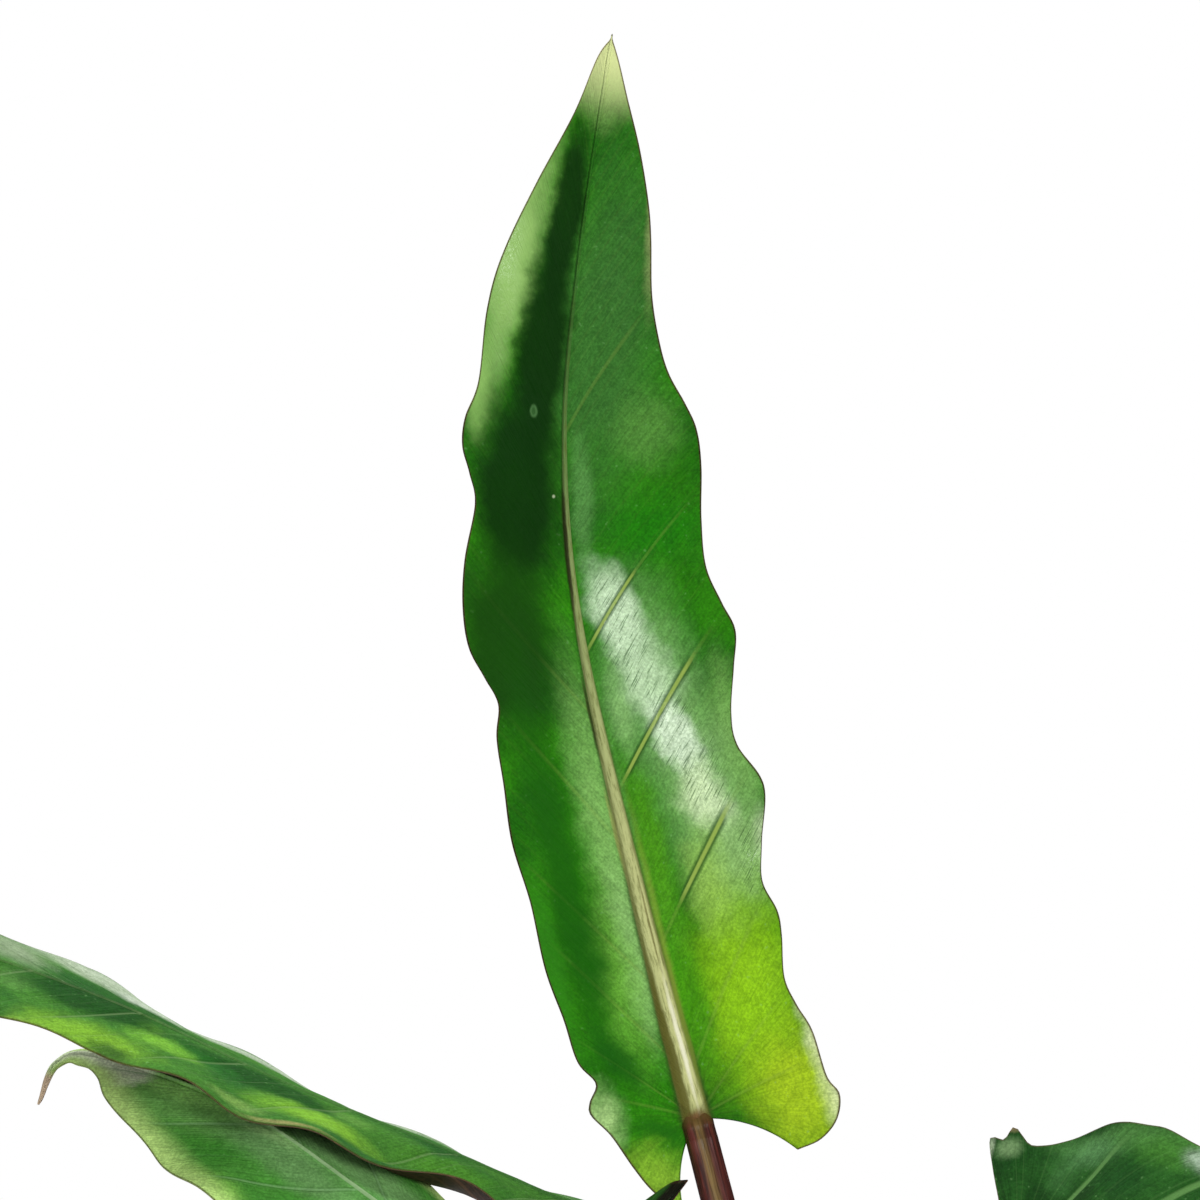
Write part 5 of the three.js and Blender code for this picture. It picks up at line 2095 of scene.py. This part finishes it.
@dataclass
class Soil:
    """Potting mix: a lumpy bed of damp peat with bark, perlite and coir worked into it."""

    pot: Pot
    level: float = 127.0
    mound: float = 2.0
    relief: float = 1.9
    crown_radius: float = 17.0
    outermost: float = 74.0
    gap: float = 0.3
    rings: int = 64
    segments: int = 192

    # The hole under the stem: radius and height of its corners.
    HOLE = ((12.5, 95.7), (0, 95.7))
    HOLE_SHOULDER = 108.0
    # The bed's lumps, as the turns of a sine and of a cosine along X and Y, and their shares.
    COARSE = (0.19, 1.3, 0.23, -0.4)
    FINE = (0.47, -0.31, 0.53, 0.17)
    LUMP_SHARES = (0.6, 0.4)
    # Its finest crumbs: which set of waves, their pitch and their height.
    CRUMBS = ((31, 5.0, 0.5), (32, 2.4, 0.35))
    SEED = 5
    # What lies on the bed: name, finish, how many, half length, and width and height as shares of it.
    GRAINS = (
        ("Bark_chips", PINE_BARK, 150, (2.4, 5.2), (0.5, 0.34)),
        ("Perlite", PERLITE, 130, (0.9, 2.1), (0.85, 0.8)),
        ("Peat_crumbs", POTTING_MIX, 520, (0.7, 2.0), (0.8, 0.7)),
    )
    GRAIN_PROFILE = ((0, -1), (0.62, -0.72), (0.95, -0.2), (0.9, 0.35), (0.5, 0.82), (0, 1))
    GRAIN_SEGMENTS = 9
    GRAIN_UNEVEN = 0.22
    GRAIN_TIPS = 0.45
    GRAIN_STANDS = 0.25
    # Coir fibres: half lengths, bends in radians, thickness, taper and how high they arch.
    FIBRE_COUNT = 70
    FIBRE_RINGS = 9
    FIBRE_SIDES = 6
    FIBRE_REACH = (4, 9)
    FIBRE_BEND = 0.9
    FIBRE_RADIUS = 0.22
    FIBRE_TAPER = 0.7
    FIBRE_LIES = 0.35
    FIBRE_ARCH = 0.6

    def height_at(self, x: np.ndarray, y: np.ndarray) -> np.ndarray:
        """The bed's height.

        Args:
            x: Millimetres along +X.
            y: Millimetres along +Y.

        Returns:
            The height at each spot.
        """
        radius = np.hypot(x, y)
        (a, b, c, d), (e, f, g, h) = self.COARSE, self.FINE
        coarse = np.sin(x * a + b) * np.cos(y * c + d)
        fine = np.sin(x * e + y * f) * np.cos(y * g + x * h)
        lumps = self.LUMP_SHARES[0] * coarse + self.LUMP_SHARES[1] * fine
        mound = self.mound * (1 - np.minimum(radius, self.outermost) / self.outermost)
        crumbs = sum(height * Ripples(seed, pitch).height(x, y) for seed, pitch, height in self.CRUMBS)
        return self.level + mound + self.relief * lumps + crumbs

    def build(self) -> list[bpy.types.Object]:
        """Builds and dresses the bed and what lies in it.

        Returns:
            The pieces, on the frame.
        """
        bed = Sculpt("Soil_bed")
        radius = np.linspace(self.outermost, self.crown_radius + self.gap, self.rings)
        turned = turned_rings([(r, 0) for r in radius], self.segments)
        turned[..., 2] = self.height_at(turned[..., 0], turned[..., 1])
        edge = self.level - self.relief - self.gap
        floor, gap = self.pot.floor, self.gap
        corner = floor + self.pot.foot_bevel
        inside = self.pot.inside_radius
        outer = [
            (0, floor + gap),
            (inside(floor) - self.pot.foot_bevel - gap, floor + gap),
            (inside(corner) - gap, corner),
            (inside(edge) - gap, edge),
        ]
        hole = [(self.crown_radius + gap, self.HOLE_SHOULDER), *self.HOLE]
        below, under_stem = (turned_rings(line, self.segments) for line in (outer, hole))
        bed.add_grid(np.concatenate([below, turned, under_stem]))
        pieces = [dress(bed.make([POTTING_MIX.material()]), "soil", "soil")]
        chance = np.random.default_rng(self.SEED)
        for name, finish, count, size, shape in self.GRAINS:
            pieces.append(self._scatter(name, finish, chance, count, size, shape))
        pieces.append(self._fibres(chance))
        return pieces

    def _spot(self, chance: np.random.Generator, room: float) -> np.ndarray:
        """A spot on the bed, clear of the pot and the stem.

        Args:
            chance: Where the numbers come from.
            room: How much room the thing needs.

        Returns:
            The spot on the surface.
        """
        low, high = self.crown_radius + room + 1, self.outermost - room
        radius = math.sqrt(chance.uniform(low**2, high**2))
        turn = chance.uniform(0, 2 * math.pi)
        x, y = radius * math.cos(turn), radius * math.sin(turn)
        return np.array([x, y, float(self.height_at(np.array([x]), np.array([y]))[0])])

    def _scatter(
        self,
        name: str,
        finish: GrainFinish,
        chance: np.random.Generator,
        count: int,
        size: Station,
        shape: Station,
    ) -> bpy.types.Object:
        """Strews uneven grains over the bed, each sunk a little into it.

        Args:
            name: The piece's name.
            finish: Its finish.
            chance: Where the numbers come from.
            count: How many grains.
            size: Least and greatest half length.
            shape: Width and height as shares of the length.

        Returns:
            All grains as one piece, on the frame.
        """
        sculpt = Sculpt(name)
        grid = turned_rings(self.GRAIN_PROFILE, self.GRAIN_SEGMENTS)
        for _ in range(count):
            half = chance.uniform(*size)
            bumps = 1 + self.GRAIN_UNEVEN * chance.uniform(-1, 1, grid.shape[:2])
            bumps[:, -1] = bumps[:, 0]
            bumps[0, :], bumps[-1, :] = bumps[0, 0], bumps[-1, 0]
            grain = grid * bumps[..., None] * half * np.array([1, *shape])
            spin = chance.uniform(0, 2 * math.pi)
            tip = chance.uniform(-self.GRAIN_TIPS, self.GRAIN_TIPS)
            place = self._spot(chance, half)
            place[2] += self.GRAIN_STANDS * half * shape[1]
            sculpt.add_grid(grain @ turning(spin, tip).T + place)
        return dress(sculpt.make([finish.material()]), "soil")

    def _fibres(self, chance: np.random.Generator) -> bpy.types.Object:
        """Lays short curved coir fibres on the bed.

        Args:
            chance: Where the numbers come from.

        Returns:
            All fibres as one piece, on the frame.
        """
        sculpt = Sculpt("Coir_fibres")
        share = np.linspace(-1, 1, self.FIBRE_RINGS)
        radius = self.FIBRE_RADIUS * (1 - self.FIBRE_TAPER * share**4)
        radii = np.repeat(radius[:, None], self.FIBRE_SIDES + 1, 1)
        front = np.broadcast_to(np.array([0.0, 0.0, 1.0]), (len(share), 3))
        for _ in range(self.FIBRE_COUNT):
            reach = chance.uniform(*self.FIBRE_REACH)
            start = self._spot(chance, reach)
            heading = chance.uniform(0, 2 * math.pi)
            turn = heading + chance.uniform(-self.FIBRE_BEND, self.FIBRE_BEND) * share
            x = start[0] + reach * share * np.cos(turn)
            y = start[1] + reach * share * np.sin(turn)
            z = self.height_at(x, y) + self.FIBRE_LIES + self.FIBRE_ARCH * (1 - share**2)
            line = np.stack([x, y, z], 1)
            sculpt.add_grid(tube_rings(line, unit(np.gradient(line, axis=0)), front, radii))
        return dress(sculpt.make([COIR.material()]), "soil")


def turning(spin: float, tip: float) -> np.ndarray:
    """A turn about the vertical after a tip about the X axis.

    Args:
        spin: The turn, in radians.
        tip: The tip, in radians.

    Returns:
        The three by three matrix.
    """
    c, s, ct, st = math.cos(spin), math.sin(spin), math.cos(tip), math.sin(tip)
    about_z = np.array([[c, -s, 0], [s, c, 0], [0, 0, 1]])
    about_x = np.array([[1, 0, 0], [0, ct, -st], [0, st, ct]])
    return about_z @ about_x


# Camera, light and floor.


@dataclass(frozen=True)
class Softbox:
    """A rectangular light: where it hangs, what it points at, its size and its power.

    Glossy surfaces show it only where it is mirrored.
    """

    name: str
    at: Point
    target: Point
    size: Station
    watts: float
    mirrored: bool = True

    def hang(self) -> None:
        """Puts the light in the scene."""
        data = bpy.data.lights.new(self.name, "AREA")
        data.shape = "RECTANGLE"
        data.size, data.size_y = (side * MM for side in self.size)
        data.energy = self.watts
        box = bpy.data.objects.new(self.name, data)
        box.location = Vector(self.at) * MM
        ahead = Vector(self.target) - Vector(self.at)
        box.rotation_euler = ahead.to_track_quat("-Z", "Y").to_euler()
        box.visible_glossy = self.mirrored
        bpy.context.scene.collection.objects.link(box)


SOFTBOXES = (
    Softbox("Key_diffuser", (900, -2200, 1100), (-60, 0, 450), (1400, 1400), 33.0, False),
    Softbox("Front_diffuser", (-300, -2500, 420), (-60, 0, 420), (1900, 1500), 27.0, False),
    Softbox("Gloss_softbox", (560, -2480, 985), (-60, 0, 520), (430, 430), 14.0),
    Softbox("Top_softbox", (-300, 420, 1500), (-80, 0, 450), (900, 600), 7.0),
    Softbox("Top_diffuser", (-300, 420, 1520), (-80, 0, 450), (900, 600), 14.0, False),
    Softbox("Back_diffuser", (700, 1700, 900), (0, 0, 350), (900, 900), 22.0, False),
)


@dataclass
class Studio:
    """A level camera at leaf height, softboxes, weak fill and a plain pale floor."""

    camera_at: Point = (-63.5, -1600.0, 533.4)
    frame_width: float = 282.0
    sensor: float = 36.0
    sees_to: float = 50.0
    floor_radius: float = 650.0
    floor_height: float = -0.5
    floor_rings: int = 8
    floor_segments: int = 96
    surround: str = "#8e9298"
    surround_strength: float = 0.2
    backdrop: str = "#ffffff"

    def place_camera(self) -> None:
        """Sets up the camera at the photograph's distance, height and framing."""
        data = bpy.data.cameras.new("Camera")
        data.sensor_width = self.sensor
        data.lens = self.sensor * -self.camera_at[1] / self.frame_width
        data.clip_end = self.sees_to
        camera = bpy.data.objects.new("Camera", data)
        camera.location = Vector(self.camera_at) * MM
        camera.rotation_euler = (math.pi / 2, 0, 0)
        bpy.context.scene.collection.objects.link(camera)
        bpy.context.scene.camera = camera
        bpy.context.scene.view_settings.view_transform = "Standard"

    def light(self) -> None:
        """Sets up the softboxes and the even surround, which the camera sees as plain white."""
        for softbox in SOFTBOXES:
            softbox.hang()
        world = Shading(bpy.data.worlds.new("Surround"))
        seen, lit = (
            world.add("Background", {"Color": linear(tone), "Strength": strength})
            for tone, strength in ((self.backdrop, 1.0), (self.surround, self.surround_strength))
        )
        ray = world.add("LightPath", out="Is Camera Ray")
        mixed = world.add("MixShader", (ray, lit, seen))
        bpy.context.scene.world = world.close(mixed, "OutputWorld")

    def lay_floor(self) -> None:
        """Lays the floor that the pot stands on."""
        sculpt = Sculpt("Floor")
        radii = np.linspace(self.floor_radius, 0, self.floor_rings)
        sculpt.add_grid(turned_rings([(r, self.floor_height) for r in radii], self.floor_segments))
        sculpt.make([FLOOR.material()])


# The upper faces, leaf by leaf.

UPRIGHT = LaminaFinish(
    name="Leaf_upper_upright",
    deep="#1d6906",
    fresh="#318809",
    vein="#9cb452",
    vein_strength=0.75,
    vein_half_width=0.34,
    lesser_strength=0.025,
    # Strong painted shade along the vein grooves.
    groove_shade_strength=0.85,
    midrib_pale=(0.45, 0.85),
    midrib_base="#bfc184",
    midrib_tip="#3f6a2c",
    midrib_edge="#5e602a",
    # The midrib's pale streak shifted right: painted highlight there, painted shade on its left flank.
    midrib_light_shift=0.12,
    tip="#d3dc98",
    tip_from=22,
    tip_strength=0.97,
    rim_strength=0.75,
    roughness=0.88,
    shiny_roughness=0.24,
    shines=(
        Shine(117, 9, (24, 9), tilt=-15),
        Shine(86, 19, (30, 10), tilt=-16),
        Shine(56, 30, (18, 8)),
        Shine(205, -17, (40, 5)),
    ),
    bold=(
        Shine(94, 14, (26, 17), core=0.6),
        Shine(126, 7, (20, 10), core=0.6),
        Shine(62, 17, (20, 13), core=0.5),
    ),
    patches=(
        Patch(190, 8, (62, 20), "#3f7632", 0.85),
        Patch(167, 20, (14, 12), "#5c983e", 0.8),
        Patch(219, 16.5, (30, 2.6), "#98a468", 0.7, tilt=-4),
        Patch(246, 1, (12, 8), "#86aa5e", 0.6, core=0.0),
        Patch(150, 3.5, (22, 4), "#5f9a4e", 0.75),
        Patch(142, 21, (13, 18), "#1d7e06", 0.85),
        # Painted sheen: pale green beside the midrib on the left half, here and in the next patch.
        Patch(70, -4, (60, 9), "#8fc46a", 0.85, core=0.1),
        Patch(40, -5, (30, 5), "#a2d082", 0.7),
        Patch(36, -9, (32, 8), "#78ba42", 0.7, core=0.1),
        Patch(58, 6, (44, 6), "#58a51a", 0.75),
        # Painted highlights: the palest patches from here to the one at 58 along and 33 across, with
        # the broad paler patches round them as their soft edges.
        Patch(104, 14, (36, 16), "#86b86e", 0.7),
        Patch(120, 9.2, (20, 8), "#d8f2ca", 0.92, tilt=-15, core=0.25),
        Patch(103, 14, (15, 10), "#d0ecc0", 0.85, tilt=-15, core=0.2),
        Patch(98, 5.5, (14, 4), "#9ed080", 0.6),
        Patch(74, 22, (38, 16), "#98c67a", 0.7),
        Patch(89, 17.5, (15, 6.5), "#e4f8d8", 0.95, tilt=-18, core=0.3),
        Patch(73, 21, (14, 7.5), "#dcf2be", 0.9, tilt=-18, core=0.2),
        Patch(52, 18, (20, 9), "#a8d262", 0.7),
        Patch(58, 33, (14, 5), "#dcf0c0", 0.8, core=0.2),
        Patch(56, 27, (18, 9), "#9cc878", 0.7),
        Patch(26, 20, (36, 20), "#9ed61c", 0.92, tilt=12, core=0.1),
        Patch(24, 6, (22, 6), "#44980a", 0.8),
        Patch(88, 31, (28, 6), "#8cc066", 0.6),
        Patch(0, 26, (22, 17), "#b4d424", 0.9),
        # Painted highlight on the right lobe's rim.
        Patch(6, 34, (26, 6), "#eef6c0", 0.85),
        Patch(-14, -13, (15, 12), "#98c838", 0.9),
        Patch(5, -22, (14, 8), "#c8ec9c", 0.8, core=0.0),
    ),
    painted_shading_and_scars=(
        # Painted light: lighter strips where the left half's margin curls towards the light.
        Patch(206, -15.5, (48, 9), "#96bf6a", 0.9, tilt=7, core=0.1),
        Patch(176, -21, (14, 4), "#8dba62", 0.75),
        # Painted shade: near-black beside the upper midrib and a dark band down the middle of the left
        # half.
        Patch(217, -4.4, (29, 5), "#062d02", 0.93, tilt=1, core=0.45),
        Patch(184, -6.4, (34, 8.4), "#062d02", 0.96, core=0.45),
        Patch(152, -11.6, (30, 14), "#062e02", 0.96, core=0.45),
        Patch(118, -18, (30, 17), "#113f04", 0.92, core=0.35),
        Patch(60, -16.5, (66, 8), "#145604", 0.85, core=0.2),
        Patch(44, -24, (34, 4), "#2c7a14", 0.6),
        # Painted shade low on the left half.
        Patch(18, -14, (13, 5), "#14550a", 0.75, tilt=-24),
        Patch(-1, -8.5, (9, 4), "#195c0a", 0.75, tilt=-60),
        # A scar: a paler ring round a darker middle.
        Patch(171, -7.5, (2.0, 1.2), "#5a8a50", 0.55, core=0.5),
        Patch(171, -7.5, (1.3, 0.7), "#17420f", 0.6, core=0.4),
    ),
    marks=(
        # Painted shade down the midrib's left flank, here and in the dark marks at 98 and 138 along.
        Patch(12, -1.8, (34, 1.5), "#5d5a24", 0.92, core=0.5),
        Patch(22, 2.8, (26, 0.9), "#66782a", 0.8, core=0.3),
        # Painted highlight: a cream streak on the midrib's rounded top.
        Patch(18, 0.9, (22, 0.8), "#e9e6cc", 0.8),
        Patch(47, 0.8, (15, 0.35), "#6a6434", 0.7),
        Patch(46, 3.0, (44, 1.4), "#94a63c", 0.4, core=0.0),
        Patch(70, -1.9, (14, 0.7), "#a8a860", 0.6),
        Patch(98, -1.5, (15, 0.6), "#2f2c0e", 0.8),
        Patch(138, -0.7, (22, 0.8), "#26250b", 0.85, core=0.4),
        Patch(151, -2.8, (0.6, 0.5), "#b8c8a0", 0.8),
        Patch(0, 0, (2.6, 3.4), "#6e432c", 0.75),
    ),
)

LEFT_UPPER = LaminaFinish(
    name="Leaf_upper_left_upper",
    deep="#2a6822",
    fresh="#45802a",
    vein="#8fa874",
    vein_strength=0.22,
    midrib_base="#4d7a38",
    midrib_tip="#8a9a70",
    midrib_edge="#3f6a30",
    midrib_shade="#2f5a26",
    midrib_strength=0.25,
    rim="#5a3a28",
    rim_strength=0.35,
    tip_strength=0.0,
    roughness=0.85,
    shiny_roughness=0.4,
    patches=(
        Patch(130, 6, (28, 10), "#1d5a18", 0.85, core=0.3),
        # Painted grey sheen on the crests along the far margin: this patch and the next two.
        Patch(100, 24, (110, 7.5), "#c2cdb8", 0.8, core=0.2),
        Patch(136, 19, (22, 8), "#bcc8b0", 0.8),
        Patch(124, 14, (13, 6), "#d4dccc", 0.75),
        Patch(126, -5, (5, 4), "#7cb83c", 0.7),
        Patch(159, -6, (6, 6), "#6ea650", 0.6),
        Patch(157, -25, (10, 6), "#a2c44e", 0.7),
        Patch(76, -7, (8, 5), "#7cb44e", 0.6),
        # Painted grey sheen near the tip.
        Patch(158, 12, (12, 14), "#9fae90", 0.75),
        Patch(140, -4, (26, 9), "#164d12", 0.92, core=0.4),
        Patch(98, -7, (30, 8), "#144d10", 0.9, core=0.4),
        Patch(55, -2, (16, 5), "#1f5a1a", 0.7),
        Patch(122, -12, (13, 6), "#86c63a", 0.75),
        Patch(142, -21, (24, 9), "#84b832", 0.9),
        Patch(84, -18, (22, 8), "#88c034", 0.88),
        Patch(50, -14, (17, 8), "#4f9026", 0.8),
        Patch(104, -24, (10, 4), "#88b056", 0.7),
        Patch(136, -24, (8, 5), "#2c5a1c", 0.8),
        Patch(112, -9, (12, 6), "#2c7a24", 0.5),
        Patch(92, -28, (15, 1.6), "#a09860", 0.8),
        Patch(-8, 19, (5, 6), "#1b0a0d", 0.97, core=0.6),
    ),
)

LEFT_LOWER = LaminaFinish(
    name="Leaf_upper_left_lower",
    deep="#408a2c",
    fresh="#529c3a",
    vein="#86b478",
    vein_strength=0.4,
    midrib_base="#a4ba92",
    midrib_tip="#a0bb8c",
    midrib_edge="#7c9a6c",
    midrib_shade="#3f702c",
    midrib_strength=0.6,
    margin="#ccf28c",
    margin_strength=1.0,
    margin_reach=10.5,
    rim="#6a5a34",
    rim_strength=0.4,
    tip_strength=0.0,
    dry_from=9,
    # The dried tip's tan, made lighter as painted light against the upper blade's shadow.
    dry="#c4ae92",
    roughness=0.9,
    shiny_roughness=0.45,
    patches=(
        # Painted sheen beside the midrib.
        Patch(92, -5, (40, 8), "#74a262", 0.8),
        # Painted light that lifts the upper blade's shadow near its margin: this patch and the next
        # two.
        Patch(126, -7, (26, 9), "#7ab85c", 0.8),
        Patch(130, -1.5, (32, 5), "#b4ff84", 0.85),
        Patch(103, -1, (14, 4), "#b4e092", 0.6),
        Patch(85, 9, (34, 12), "#86bc70", 0.9, core=0.4),
        Patch(99, -27, (17, 10), "#a2de60", 0.85),
        # The hook's pale tip, made near white: its own pale colour and painted light against the upper
        # blade's shadow.
        Patch(150, 0, (18, 10), "#f4ffdc", 0.97, core=0.75),
    ),
)

RIGHT_FRONT = LaminaFinish(
    name="Leaf_upper_right_front",
    deep="#164714",
    fresh="#2b6022",
    vein="#6f9f58",
    vein_strength=0.5,
    vein_half_width=0.75,
    rim="#6a5444",
    rim_strength=0.45,
    roughness=0.88,
    shiny_roughness=0.36,
    shines=(Shine(40, -26, (8, 6)),),
    patches=(
        # Painted shade: a dark band across the lobe's end.
        Patch(2, -17, (5, 11), "#144112", 0.8, core=0.1),
        Patch(8, -24, (6, 9), "#43743c", 0.6, core=0.0),
        Patch(24, -31, (28, 5), "#5a9248", 0.55),
        Patch(15, -29, (10, 6), "#5e9258", 0.75, core=0.1),
        Patch(14, -16, (5, 7), "#143710", 0.7, core=0.0),
        Patch(24, -20, (8, 10), "#1c4c1c", 0.75, core=0.1),
        Patch(33, -28, (10, 7), "#46822e", 0.8, core=0.1),
        Patch(44, -20, (13, 7), "#1e5218", 0.8),
        Patch(6, -14, (9, 7), "#123c10", 0.6),
        Patch(-5.5, -28.8, (4.6, 4), "#8fb27a", 0.65, core=0.1),
        Patch(-10, -29.5, (1.3, 5), "#b4c6a4", 0.8, core=0.1),
        Patch(-5.2, -33.8, (2.0, 1.6), "#9a8562", 0.8, core=0.0),
        # Painted grey sheen, over the smoother skin of its shine.
        Patch(42, -27.5, (8, 6), "#c8d8c6", 0.85, core=0.2),
    ),
)


# The usual finish is paler along its middle and fresher in its lobes.
USUAL = LaminaFinish(
    name="Leaf_upper",
    deep="#1c5212",
    fresh="#2f7620",
    vein="#86a86a",
    midrib_base="#a8ae80",
    roughness=0.7,
    shiny_roughness=0.32,
    shines=(Shine(90, 12, (50, 12)), Shine(50, -14, (40, 10))),
    patches=(
        Patch(80, 10, (60, 12), "#5c9440", 0.6),
        Patch(120, -10, (60, 10), "#143f0c", 0.8),
        Patch(-4, 20, (24, 18), "#7fae34", 0.8),
        Patch(-4, -20, (24, 18), "#74a631", 0.8),
    ),
)
UPPER_FINISHES = {
    "1_upright": UPRIGHT,
    "2_left_upper": LEFT_UPPER,
    "3_left_lower": LEFT_LOWER,
    "4_right_front": RIGHT_FRONT,
    "5_right_rear": replace(USUAL, name="Leaf_upper_right_rear"),
    "6_left_rear": replace(USUAL, name="Leaf_upper_left_rear"),
    "7_front_low": replace(USUAL, name="Leaf_upper_front_low"),
}


def main() -> None:
    """Builds the studio and the plant, and reports each piece."""
    logging.basicConfig(level=logging.INFO, format="%(message)s")
    studio = Studio()
    studio.place_camera()
    studio.light()
    studio.lay_floor()
    underside = UndersideFinish().material()
    petioles = [Petiole(form) for form in LEAVES]
    pot = Pot()
    pot.build()
    Soil(pot).build()
    Crown(petioles).build()
    for form, petiole in zip(LEAVES, petioles):
        petiole.build()
        details = BLADE_DETAILS.get(form.name, {})
        Blade(form, UPPER_FINISHES[form.name], **details).build(underside)


if __name__ == "__main__":
    main()
